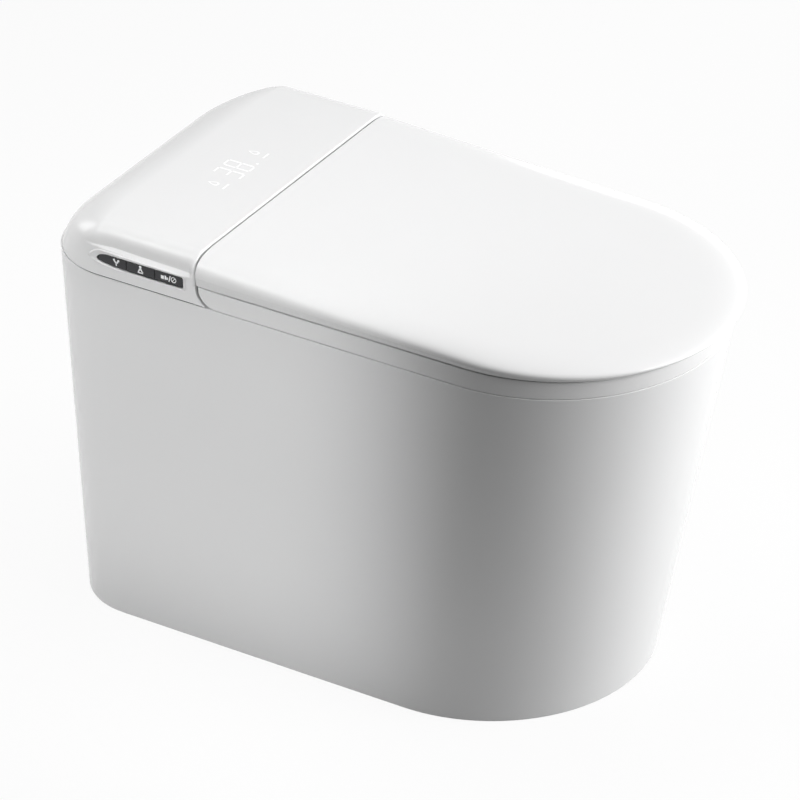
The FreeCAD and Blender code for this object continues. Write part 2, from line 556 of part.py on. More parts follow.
def build_ceramic():
    """The vitreous china: a skirted shell with a deck, a bowl hung from it and a trapway to the floor."""
    outer = loft("china_outer", [
        outline("foot_outline", "foot_half_width", "foot_front", "foot_rear", "foot_corner", "0"),
        outline("seam_outline", "seam_half_width", "seam_front", "seam_rear", "seam_corner", "seam_height"),
    ])
    inside = "china_wall"
    hollow = loft("china_hollow", [
        outline("foot_inside", f"foot_half_width - {inside}", f"foot_front - {inside}",
                f"foot_rear - {inside}", f"foot_corner - {inside}", "0"),
        outline("seam_inside", f"seam_half_width - {inside}", f"seam_front - {inside}",
                f"seam_rear - {inside}", f"seam_corner - {inside}", "seam_height - deck_thickness"),
    ])

    def bowl(name, more, top, bottom):
        levels = (
            (0.0, 1.0, 0.0),
            (0.32, 0.92, 0.06),
            (0.68, 0.55, 0.42),
            (1.0, 0.0, 1.0),
        )
        rings = []
        for index, (drop, mouth, shift) in enumerate(levels):
            width = f"sump_half_width + (bowl_half_width - sump_half_width) * {mouth} + {more}"
            length = f"sump_half_length + (bowl_half_length - sump_half_length) * {mouth} + {more}"
            forward = f"bowl_centre + (sump_centre - bowl_centre) * {shift}"
            height = f"({top}) + (({bottom}) - ({top})) * {drop}"
            rings.append(ellipse(f"{name}_{index}", width, length, forward, height))
        return loft(name, rings, ruled=False)

    bowl_shell = bowl("bowl_shell", inside, "seam_height - deck_thickness / 2",
                      f"seam_height - bowl_depth - {inside}")
    bowl_room = bowl("bowl_room", "0", "seam_height", "seam_height - bowl_depth")
    bowl_mouth = doc.addObject("Part::Extrusion", "bowl_mouth")
    bowl_mouth.Base = ellipse("mouth_ring", "bowl_half_width", "bowl_half_length", "bowl_centre",
                              "seam_height")
    bowl_mouth.Dir = FreeCAD.Vector(0, 0, 1)
    bowl_mouth.Solid = True
    bind(bowl_mouth, "LengthFwd", "deck_thickness")

    path = doc.addObject("Sketcher::SketchObject", "trap_path")
    path.Placement = FreeCAD.Placement(FreeCAD.Vector(), FreeCAD.Rotation(FreeCAD.Vector(1, 1, 1), 120))
    bend = number("trap_bend")
    back = number("outlet_back")
    start = FreeCAD.Vector(-number("sump_centre"), number("trap_inlet_height"))
    middle_y = back - bend
    middle_z = number("trap_centre")
    reach = math.hypot(middle_y - start.x, middle_z - start.y)
    rise = math.atan2(middle_z - start.y, middle_y - start.x) + math.asin(bend / reach)
    crest = Part.Circle(FreeCAD.Vector(middle_y, middle_z), FreeCAD.Vector(0, 0, 1), bend)
    shoulder = FreeCAD.Vector(middle_y - bend * math.sin(rise), middle_z + bend * math.cos(rise))
    path.addGeometry(Part.LineSegment(FreeCAD.Vector(back, 0), FreeCAD.Vector(back, middle_z)))
    path.addGeometry(Part.ArcOfCircle(crest, 0, math.pi / 2 + rise))
    path.addGeometry(Part.LineSegment(shoulder, start))
    path.addConstraint(Sketcher.Constraint("Tangent", 0, 2, 1, 1))
    path.addConstraint(Sketcher.Constraint("Tangent", 1, 2, 2, 1))
    path.addConstraint(Sketcher.Constraint("Vertical", 0))
    path.addConstraint(Sketcher.Constraint("PointOnObject", 0, 1, -1))
    datum(path, "DistanceX", (-1, 1, 0, 1), "outlet", "outlet_back")
    datum(path, "Radius", (1,), "bend", "trap_bend")
    datum(path, "DistanceX", (2, 2, -1, 1), "inlet_forward", "sump_centre")
    datum(path, "DistanceY", (-1, 1, 2, 2), "inlet_height", "trap_inlet_height")
    datum(path, "DistanceY", (-1, 1, 1, 3), "crest", "trap_centre")

    def pipe(name, radius):
        ring = doc.addObject("Part::Circle", name + "_ring")
        bind(ring, "Radius", radius)
        bind(ring, "Placement.Base.y", "outlet_back")
        tube = doc.addObject("Part::Sweep", name)
        tube.Sections = [ring]
        tube.Spine = (path, ["Edge1", "Edge2", "Edge3"])
        tube.Solid = True
        return tube

    trap_shell = pipe("trap_shell", "trap_radius + china_wall")
    trap_room = pipe("trap_room", "trap_radius")
    tray = box("tray", ("-recess_half_width", "recess_half_width"), ("recess_front", "recess_rear"),
               (PLATE_LOW, "seam_height + deck_thickness"))
    well = box("well", ("-well_half_width", "well_half_width"), ("well_front", "well_rear"),
               ("seam_height - 2 * deck_thickness", "seam_height"))
    wand_channel = box("wand_channel", ("-channel_half_width", "channel_half_width"),
                       ("recess_front - 2 * china_wall - channel_depth", "well_front"),
                       ("seam_height - channel_depth", "seam_height + deck_thickness"))
    air_channel = box("air_channel", ("air_channel_side", "air_channel_side + air_channel_width"),
                      ("recess_front - 5 * china_wall", "riser_front + riser_length + plate_gap"),
                      ("seam_height - air_channel_depth", "seam_height + deck_thickness"))
    apron = box("channel_apron", ("-channel_half_width - china_wall", "channel_half_width + china_wall"),
                ("recess_front - 2 * china_wall - channel_depth", "well_front"),
                ("seam_height - channel_depth - china_wall", "seam_height - deck_thickness / 2"))
    hose_port = cylinder("hose_port", "y", "hose_radius + pin_clearance",
                         ("-pump_side", "-bowl_centre", "hose_height"), "bowl_centre + recess_front")
    shell = cut("china_skirt", outer, [hollow])
    channels = [wand_channel, air_channel]
    skirt = fuse("china_blank", [shell, apron])
    openings = [bowl_shell, bowl_room, bowl_mouth, tray, well] + channels
    finish("ceramic_body", cut("ceramic_body", skirt, openings))
    finish("ceramic_bowl", cut("ceramic_bowl", bowl_shell, [bowl_room, trap_room, hose_port] + channels))
    finish("trapway", cut("trapway", trap_shell, [bowl_shell, trap_room]))


def build_floor_fixings():
    """Outlet seal, the two brackets that hold the foot down and their screws."""
    ring = cylinder("gasket_ring", "z", "gasket_radius", ("0", "outlet_back", "0"), "gasket_height")
    hole = cylinder("gasket_hole", "z", "trap_radius + china_wall", ("0", "outlet_back", "0"),
                    "gasket_height")
    finish("drain_gasket", cut("drain_gasket", ring, [hole]))

    brackets = []
    screws = []
    for side, name in ((1, "right"), (-1, "left")):
        middle = f"{side} * bracket_side"
        x_span = (f"{middle} - bracket_length / 2", f"{middle} + bracket_length / 2")
        y_span = ("bracket_back - bracket_length / 2", "bracket_back + bracket_length / 2")
        foot = box(f"bracket_foot_{name}", x_span, y_span, ("0", "bracket_thickness"))
        rise = box(f"bracket_rise_{name}", x_span,
                   ("bracket_back + bracket_length / 2 - bracket_thickness",
                    "bracket_back + bracket_length / 2"),
                   ("0", "bracket_length"))
        hole = cylinder(f"bracket_hole_{name}", "z", "floor_screw_radius", (middle, "bracket_back", "0"),
                        "bracket_thickness")
        bracket = cut(f"bracket_{name}", fuse(f"bracket_blank_{name}", [foot, rise]), [hole])
        shank = cylinder(f"floor_shank_{name}", "z", "floor_screw_radius", (middle, "bracket_back", "0"),
                         "bracket_thickness")
        head = cylinder(f"floor_head_{name}", "z", "floor_screw_head",
                        (middle, "bracket_back", "bracket_thickness"), "floor_screw_radius")
        brackets.append(bracket)
        screws.append(fuse(f"floor_screw_{name}", [shank, head]))
    finish("floor_brackets", group("floor_brackets", brackets))
    finish("floor_screws", group("floor_screws", screws))


def build_base_plate():
    """The plate in the deck's tray that carries the works, and the screws that hold it down."""
    body = doc.addObject("PartDesign::Body", "base_plate")
    sketch = sketch_on(body, "plate_sketch", "XY_Plane", PLATE_LOW)
    half = "(recess_half_width - plate_gap)"
    front = "(recess_front + plate_gap)"
    rear = "(recess_rear - plate_gap)"
    slot = "channel_half_width"
    slot_rear = "guide_foot_back + guide_foot_length + 3 * guide_foot_height"
    duct_low = "fan_side - duct_width / 2 - plate_gap"
    duct_high = "fan_side + duct_width / 2 + plate_gap"
    duct_rear = "riser_front + riser_length + plate_gap"
    draw_polygon(sketch, [
        (f"-{half}", front), (f"-{slot}", front), (f"-{slot}", slot_rear),
        (slot, slot_rear), (slot, front), (duct_low, front), (duct_low, duct_rear),
        (duct_high, duct_rear), (duct_high, front), (half, front), (half, rear), (f"-{half}", rear),
    ])
    pad(body, "plate_pad", sketch, "plate_thickness")
    holes = sketch_on(body, "plate_holes", "XY_Plane", PLATE_TOP)
    for side in (1, -1):
        for along in ("screw_front", "screw_rear"):
            draw_circle(holes, f"{side} * screw_side", along, "screw_radius")
    pocket(body, "plate_hole_pocket", holes, "plate_thickness")
    finish("base_plate", body)

    screws = []
    for side in (1, -1):
        for along in ("screw_front", "screw_rear"):
            x = f"{side} * screw_side"
            name = f"{along}_{'right' if side > 0 else 'left'}"
            shank = cylinder(f"{name}_shank", "z", "screw_radius", (x, along, PLATE_LOW), "plate_thickness")
            head = cylinder(f"{name}_head", "z", "screw_head", (x, along, PLATE_TOP), "screw_radius")
            screws.append(fuse(name, [shank, head]))
    finish("base_plate_screws", group("base_plate_screws", screws))


def build_hinge():
    """Two posts on the base plate, each with a pin and a soft-close damper."""
    for side, name, damper in ((1, "right", "lid_damper"), (-1, "left", "seat_damper")):
        low = "post_inner" if side > 0 else f"-{POST_OUTER}"
        body = doc.addObject("PartDesign::Body", f"{name}_hinge_post")
        sketch = sketch_on(body, f"{name}_stem_sketch", "YZ_Plane", low)
        draw_polygon(sketch, [
            ("hinge_back - eye_radius", PLATE_TOP), ("hinge_back + stem_rear", PLATE_TOP),
            ("hinge_back + stem_rear", "hinge_height"), ("hinge_back - eye_radius", "hinge_height"),
        ])
        pad(body, f"{name}_stem", sketch, "post_width")
        eye = sketch_on(body, f"{name}_eye_sketch", "YZ_Plane", low)
        draw_circle(eye, "hinge_back", "hinge_height", "eye_radius")
        pad(body, f"{name}_eye", eye, "post_width")
        bore = sketch_on(body, f"{name}_bore_sketch", "YZ_Plane", f"({low}) + post_width")
        draw_circle(bore, "hinge_back", "hinge_height", "pin_radius")
        pocket(body, f"{name}_bore", bore, "post_width")
        finish(f"{name}_hinge_post", body)

        reach = "post_width + 2 * ear_gap + 2 * ear_width"
        pin_low = "post_inner" if side > 0 else f"-(post_inner + {reach})"
        pin = cylinder(f"{name}_hinge_pin", "x", "pin_radius", (pin_low, "hinge_back", "hinge_height"), reach)
        finish(f"{name}_hinge_pin", pin)

        damper_low = "post_inner - damper_length" if side > 0 else "-post_inner"
        barrel = cylinder(damper, "x", "eye_radius", (damper_low, "hinge_back", "hinge_height"),
                          "damper_length")
        finish(damper, barrel)


def hinge_ears(owner, inner, foot_low, foot_high):
    """The two ears of the seat or of the lid: an eye on the pin and a web to what carries it."""
    solids = []
    bores = []
    for side, name in ((1, "right"), (-1, "left")):
        low = inner if side > 0 else f"-({inner} + ear_width)"
        high = f"({low}) + ear_width"
        eye = cylinder(f"{owner}_eye_{name}", "x", "eye_radius", (low, "hinge_back", "hinge_height"),
                       "ear_width")
        web = box(f"{owner}_web_{name}", (low, high), ("hinge_back - eye_radius", "hinge_back + stem_rear"),
                  (foot_low, foot_high))
        bore = cylinder(f"{owner}_bore_{name}", "x", "pin_radius + pin_clearance",
                        (low, "hinge_back", "hinge_height"), "ear_width")
        solids.extend([eye, web])
        bores.append(bore)
    return solids, bores


def build_seat():
    """The seat: a heated upper shell and a flat lower shell that swing on the hinge pins."""
    def blank(name, low, high):
        solid = loft(f"{name}_blank", [
            outline(f"{name}_low", "seat_half_width", "seat_front - seat_draft", "seat_rear", "ear_width",
                    low),
            outline(f"{name}_high", "seat_half_width", "seat_front", "seat_rear", "ear_width", high),
        ])
        return solid

    def hole(name, more):
        mouth = doc.addObject("Part::Extrusion", name)
        mouth.Base = ellipse(f"{name}_ring", f"seat_hole_half_width + {more}",
                             f"seat_hole_half_length + {more}",
                             "seat_hole_centre", SEAT_LOW)
        mouth.Dir = FreeCAD.Vector(0, 0, 1)
        mouth.Solid = True
        bind(mouth, "LengthFwd", f"2 * seat_top - 2 * {SEAT_LOW}")
        return mouth

    def bay(name):
        return box(name, (f"-{SEAT_ARM}", SEAT_ARM), (BRIDGE_REAR, "seat_rear + seat_heel"),
                   (SEAT_LOW, ABOVE_ALL))

    def heels(name):
        corner = box(f"{name}_corner", ("-2 * seat_half_width", "2 * seat_half_width"),
                     ("seat_rear - seat_heel", "seat_rear + seat_heel"),
                     (f"{SEAT_LOW} - seat_heel", f"{SEAT_LOW} + seat_heel"))
        round_bar = cylinder(f"{name}_round", "x", "seat_heel",
                             ("-2 * seat_half_width", "seat_rear - seat_heel", f"{SEAT_LOW} + seat_heel"),
                             "4 * seat_half_width")
        return cut(name, corner, [round_bar])

    def slab(name, low, high):
        return box(name, ("-2 * seat_half_width", "2 * seat_half_width"),
                   ("-2 * seat_front", "2 * seat_front"),
                   (low, high))

    whole = cut("seat_whole", blank("seat", SEAT_LOW, "seat_top"), [hole("seat_hole", "0"), bay("seat_bay")])
    shaped = cut("seat_shaped", whole, [heels("seat_heels")])
    lower = common("seat_lower", [shaped, slab("seat_lower_slab", SEAT_LOW, SEAT_SPLIT)])
    upper = common("seat_upper", [shaped, slab("seat_upper_slab", SEAT_SPLIT, "seat_top")])

    skin = "seat_skin"
    room_outer = loft("seat_room_outer", [
        outline("seat_room_low", f"seat_half_width - {skin}", f"seat_front - seat_draft - {skin}",
                f"{BRIDGE_REAR} - {skin}", "ear_width", SEAT_SPLIT),
        outline("seat_room_high", f"seat_half_width - {skin}", f"seat_front - seat_draft - {skin}",
                f"{BRIDGE_REAR} - {skin}", "ear_width", f"seat_top - {skin}"),
    ])
    room = cut("seat_room", room_outer, [hole("seat_room_hole", skin)])
    ears, bores = hinge_ears("seat", SEAT_EAR, f"seat_top - {skin} / 2", "hinge_height")
    hollow = cut("seat_hollow", upper, [room])
    finish("seat_top", cut("seat_top", fuse("seat_with_ears", [hollow] + ears), bores))
    finish("seat_base", lower)

    foil_outer = loft("foil_outer", [
        outline("foil_low", "seat_half_width - 3 * seat_skin", "seat_front - seat_draft - 3 * seat_skin",
                f"{BRIDGE_REAR} - 3 * seat_skin", "ear_width", f"seat_top - {skin} - heater_foil"),
        outline("foil_high", "seat_half_width - 3 * seat_skin", "seat_front - seat_draft - 3 * seat_skin",
                f"{BRIDGE_REAR} - 3 * seat_skin", "ear_width", f"seat_top - {skin}"),
    ])
    finish("seat_heater", cut("seat_heater", foil_outer, [hole("foil_hole", "3 * seat_skin")]))

    pads = []
    for side in (1, -1):
        for along in ("-seat_buffer_front", "seat_buffer_rear"):
            name = f"seat_buffer_{len(pads)}"
            pads.append(cylinder(name, "z", "buffer_radius", (f"{side} * seat_buffer_side", along,
                                 "seam_height + seat_gap / 6"), "seat_gap - seat_gap / 6"))
    finish("seat_buffers", group("seat_buffers", pads))


# The lid's rolled edge is a curve fuller than an ellipse: both its shares are sine and cosine to a power
# below one, taken at these turns in degrees.
ROLL_STEPS = (22, 45, 68, 90)
ROLL_FULLNESS = 0.755


def build_lid():
    """The lid: a wedge-shaped shell with a rolled edge, an inner liner and rubber buffers."""
    def roll(name, less, lower):
        rows = [tilted_outline(f"{name}_crease", f"crease_half_width - {less}", f"crease_front - {less}",
                               "seat_rear", "ear_width", "crease_rear_height", "crease_front_height")]
        for step in ROLL_STEPS:
            inset = f"lid_roll * (1 - cos({step} deg) ^ {ROLL_FULLNESS}) + {less}"
            lift = f"sin({step} deg) ^ {ROLL_FULLNESS}"
            rear_height = f"crease_rear_height + (lid_rear_height - crease_rear_height - {lower}) * {lift}"
            front_height = (f"crease_front_height"
                            f" + (lid_front_height - crease_front_height - {lower}) * {lift}")
            rows.append(tilted_outline(f"{name}_roll_{step}", f"crease_half_width - ({inset})",
                                       f"crease_front - ({inset})", "seat_rear", "ear_width / 2",
                                       rear_height, front_height))
        return rows

    edge = outline("lid_edge", "lid_edge_half_width", "lid_edge_front", "seat_rear", "ear_width", LID_LOW)
    outer = loft("lid_outer", [edge] + roll("lid_outer", "0", "0"))
    skirt = outline("lid_skirt", "lid_skirt_inner", "lid_edge_front - lid_wall", "seat_rear + seat_heel",
                    "ear_width", f"{LID_LOW} - lid_wall")
    inner_rows = []
    for row, (inset, lift) in enumerate((("0", "0.15"), ("lid_roll * 0.5", "0.8"), ("lid_roll * 0.9", "1"))):
        rear_height = f"crease_rear_height + (lid_rear_height - crease_rear_height - lid_wall) * {lift}"
        front_height = f"crease_front_height + (lid_front_height - crease_front_height - lid_wall) * {lift}"
        inner_rows.append(tilted_outline(f"lid_room_{row}", f"lid_skirt_inner - {inset}",
                                         f"crease_front - 2 * lid_wall - {inset}", "seat_rear + seat_heel",
                                         "ear_width", rear_height, front_height))
    room = loft("lid_room", [skirt] + inner_rows)
    shell = cut("lid_hollow", outer, [room])
    ears, bores = hinge_ears("lid", LID_EAR, "hinge_height", "lid_rear_height - lid_wall / 2 - 1")
    finish("lid_shell", cut("lid_shell", fuse("lid_with_ears", [shell] + ears), bores))

    flat_half = "lid_skirt_inner - lid_roll - 2 * lid_wall"
    flat_front = "crease_front - lid_roll - 4 * lid_wall"
    liner_rear = "hinge_back - 4 * eye_radius"
    liner_rows = []
    for name, lower in (("liner_low", "lid_wall + liner_thickness"), ("liner_high", "lid_wall")):
        liner_rows.append(tilted_outline(name, flat_half, flat_front, liner_rear, "ear_width",
                                         f"lid_rear_height - ({lower})", f"lid_front_height - ({lower})"))
    liner = loft("lid_liner", liner_rows)
    finish("lid_liner", liner)

    slope = "(lid_rear_height - lid_front_height) / (seat_rear + crease_front)"
    top = f"lid_rear_height - lid_wall - liner_thickness / 2 - {slope} * (seat_rear + lid_buffer_front)"
    low = "seat_top + lid_gap / 4"
    pads = []
    for side, name in ((1, "right"), (-1, "left")):
        stud = cylinder(f"lid_stud_{name}", "z", "buffer_radius",
                        (f"{side} * lid_buffer_side", "-lid_buffer_front", low), f"{top} - ({low})")
        pads.append(stud)
    finish("lid_buffers", cut("lid_buffers", group("lid_studs", pads), [liner]))


def cover_form(name, less):
    """The rear cover's form: its plan and its rolls to the sides and the rear, all drawn in by a wall."""
    top = f"cover_top - {less}"
    half = f"cover_half_width - {less}"
    front = f"cover_front + {less}"
    corner = f"seam_corner - {less}"
    plan = loft(f"{name}_plan", [
        outline(f"{name}_plan_low", half, half, f"seam_rear - {less}", corner, COVER_LOW),
        outline(f"{name}_plan_high", half, half, f"seam_rear - {less}", corner, top),
    ])
    x_all = (f"-({half})", half)
    x_flat = ("side_roll - cover_half_width", "cover_half_width - side_roll")
    y_all = (front, f"seam_rear - {less}")
    side_height = "cover_top - side_roll"
    sides = [
        box(f"{name}_flat", x_flat, y_all, (COVER_LOW, top)),
        box(f"{name}_low", x_all, y_all, (COVER_LOW, side_height)),
    ]
    for index, x in enumerate(x_flat):
        sides.append(cylinder(f"{name}_side_{index}", "y", f"side_roll - {less}", (x, front, side_height),
                              f"seam_rear - {less} - ({front})"))
    across = fuse(f"{name}_across", sides)
    along = fuse(f"{name}_along", [
        box(f"{name}_level", x_all, (front, "seam_rear - rear_roll"), (COVER_LOW, top)),
        cylinder(f"{name}_rear", "x", f"rear_roll - {less}",
                 (x_all[0], "seam_rear - rear_roll", "cover_top - rear_roll"), f"2 * ({half})"),
    ])
    return common(name, [plan, across, along])


KEY_STEP = "(key_length + key_gap)"
KEY_FACE = "(key_recess - cover_half_width)"
KEY_NAMES = ("flush_button", "front_wash_button", "rear_wash_button")


def key_profile(sketch, low, high, more, pointed):
    """A button's outline seen from the side; the last one runs to a point at the rear."""
    bottom = f"key_level - key_height / 2 - ({more})"
    top = f"key_level + key_height / 2 + ({more})"
    start = f"({low}) - ({more})"
    end = f"({high}) + ({more})"
    corners = [(start, bottom), (end, bottom), (end, top), (start, top)]
    if pointed:
        shoulder = f"({high}) - key_height + ({more})"
        corners = [(start, bottom), (shoulder, bottom), (end, "key_level"), (shoulder, top), (start, top)]
    draw_polygon(sketch, corners)


def build_cover():
    """The rear cover: a shell with a window for the buttons, a gap for the wand and two holes."""
    shell = cut("cover_shell", cover_form("cover_outer", "0"), [cover_form("cover_inner", "cover_wall")])
    toes = []
    for side, name in ((1, "right"), (-1, "left")):
        x_span = (COVER_IN_SIDE, "cover_half_width") if side > 0 else ("-cover_half_width",
                                                                       f"-{COVER_IN_SIDE}")
        toe = box(f"toe_blank_{name}", x_span, ("cover_front - toe_reach", "cover_front"),
                  (COVER_LOW, f"{SEAT_LOW} + seat_heel"))
        room = cylinder(f"toe_room_{name}", "x", "seat_heel + toe_gap",
                        (x_span[0], "seat_rear - seat_heel", f"{SEAT_LOW} + seat_heel"), "cover_wall")
        toes.append(cut(f"toe_{name}", toe, [room]))
    window_sketch = doc.addObject("Sketcher::SketchObject", "window_sketch")
    window_sketch.Placement = FreeCAD.Placement(FreeCAD.Vector(),
                                                FreeCAD.Rotation(FreeCAD.Vector(1, 1, 1), 120))
    key_profile(window_sketch, "key_front", f"key_front + 2 * {KEY_STEP} + key_length", "key_gap", True)
    window = doc.addObject("Part::Extrusion", "window")
    window.Base = window_sketch
    window.Dir = FreeCAD.Vector(-1, 0, 0)
    window.Solid = True
    bind(window, "LengthFwd", "2 * cover_half_width")
    wand_gap = box("wand_gap", ("-channel_half_width", "channel_half_width"),
                   ("cover_front", "cover_front + cover_wall"),
                   (COVER_LOW, "wand_front_height + guide_height + wand_radius"))
    inlet_hole = cylinder("inlet_hole", "y", "inlet_collar",
                          ("valve_side", "valve_back", "inlet_height"), "seam_rear - valve_back")
    gland_hole = cylinder("gland_hole", "y", "gland_radius",
                          ("-gland_side", "valve_back", "gland_height"), "seam_rear - valve_back")
    finish("rear_cover", cut("rear_cover", fuse("cover_with_toes", [shell] + toes),
                             [window, wand_gap, inlet_hole, gland_hole]))


def build_buttons():
    """Three side buttons, the silicone domes that push them back and the carrier with their switches."""
    for index, name in enumerate(KEY_NAMES):
        body = doc.addObject("PartDesign::Body", name)
        low = f"key_front + {index} * {KEY_STEP}"
        high = f"{low} + key_length"
        last = index == len(KEY_NAMES) - 1
        face = sketch_on(body, f"{name}_face", "YZ_Plane", KEY_FACE)
        key_profile(face, low, high, "0", last)
        pad(body, f"{name}_cap", face, "key_depth")
        rim = sketch_on(body, f"{name}_rim", "YZ_Plane", "cover_wall + key_gap - cover_half_width")
        rim_high = f"{high} - key_height" if last else high
        draw_polygon(rim, [
            (low, "key_level - key_height / 2 - key_gap - key_flange"),
            (rim_high, "key_level - key_height / 2 - key_gap - key_flange"),
            (rim_high, "key_level + key_height / 2 + key_gap + key_flange"),
            (low, "key_level + key_height / 2 + key_gap + key_flange"),
        ])
        pad(body, f"{name}_flange", rim, "key_flange")
        finish(name, body)

    dome_end = f"({KEY_FACE} + key_depth + key_travel + pin_clearance)"
    domes = []
    for index in range(len(KEY_NAMES)):
        middle = f"key_front + {index} * {KEY_STEP} + key_length / 3"
        domes.append(cylinder(f"dome_{index}", "x", "dome_radius", (dome_end, middle, "key_level"),
                              "dome_height"))
    finish("button_domes", group("button_domes", domes))
    carrier_low = f"{dome_end} + dome_height"
    body = doc.addObject("PartDesign::Body", "button_carrier")
    sketch = sketch_on(body, "carrier_sketch", "YZ_Plane", carrier_low)
    front = "cover_front + cover_wall"
    rear = f"key_front + 3 * {KEY_STEP} + carrier_margin"
    draw_polygon(sketch, [
        (front, COVER_LOW), (rear, COVER_LOW),
        (rear, "key_level + key_height / 2 + carrier_margin"),
                          (front, "key_level + key_height / 2 + carrier_margin"),
    ])
    pad(body, "carrier_pad", sketch, "carrier_thickness")
    finish("button_carrier", body)


def build_display():
    """The hidden display: a board under the cover's top and a mask that keeps its light in cells."""
    y_span = ("display_back - display_length / 2", "display_back + display_length / 2")
    x_span = ("-display_width / 2", "display_width / 2")
    mask_low = f"{COVER_IN_TOP} - display_mask"
    blank = box("mask_blank", x_span, y_span, (mask_low, COVER_IN_TOP))
    cells = []
    for index in range(4):
        low = f"-display_width / 2 + {index} * display_width / 4 + cover_wall"
        high = f"-display_width / 2 + {index + 1} * display_width / 4 - cover_wall"
        cells.append(box(f"mask_cell_{index}", (low, high),
                         (f"{y_span[0]} + cover_wall", f"{y_span[1]} - cover_wall"),
                         (mask_low, COVER_IN_TOP)))
    finish("display_mask", cut("display_mask", blank, cells))
    finish("display_board", box("display_board", x_span, y_span,
                                (f"{mask_low} - circuit_thickness", mask_low)))


WAND_COS = "cos(wand_slope * 1 deg)"
WAND_SIN = "sin(wand_slope * 1 deg)"
RACK_TOP = "(wand_radius + rack_height)"
PITCH_RADIUS = "(tooth_pitch * pinion_teeth / (2 * pi))"
PINION_LIFT = f"({RACK_TOP} - tooth_height / 2 + {PITCH_RADIUS})"
PINION_ALONG = "(guide_start + pinion_place)"


def wand_point(along, lift):
    """Where a point of the wand's own frame lies: so far up its axis, so far above it."""
    y = f"wand_front_back + ({along}) * {WAND_COS} - ({lift}) * {WAND_SIN}"
    z = f"wand_front_height + ({along}) * {WAND_SIN} + ({lift}) * {WAND_COS}"
    return y, z


def tilted_box(name, x_span, along_span, lift_span):
    """A box in the wand's own frame."""
    piece = box(name, x_span, along_span, lift_span)
    piece.Placement = FreeCAD.Placement(FreeCAD.Vector(), FreeCAD.Rotation(FreeCAD.Vector(1, 0, 0), 1))
    bind(piece, "Placement.Rotation.Angle", "wand_slope")
    y, z = wand_point(along_span[0], lift_span[0])
    place(piece, x_span[0], y, z)
    return piece


def tilted_rod(name, radius, along_span):
    """A round in the wand's own frame, on its axis."""
    piece = doc.addObject("Part::Cylinder", name)
    bind(piece, "Radius", radius)
    bind(piece, "Height", f"({along_span[1]}) - ({along_span[0]})")
    piece.Placement = FreeCAD.Placement(FreeCAD.Vector(), FreeCAD.Rotation(FreeCAD.Vector(-1, 0, 0), 1))
    bind(piece, "Placement.Rotation.Angle", "90 - wand_slope")
    y, z = wand_point(along_span[0], "0")
    place(piece, "0", y, z)
    return piece


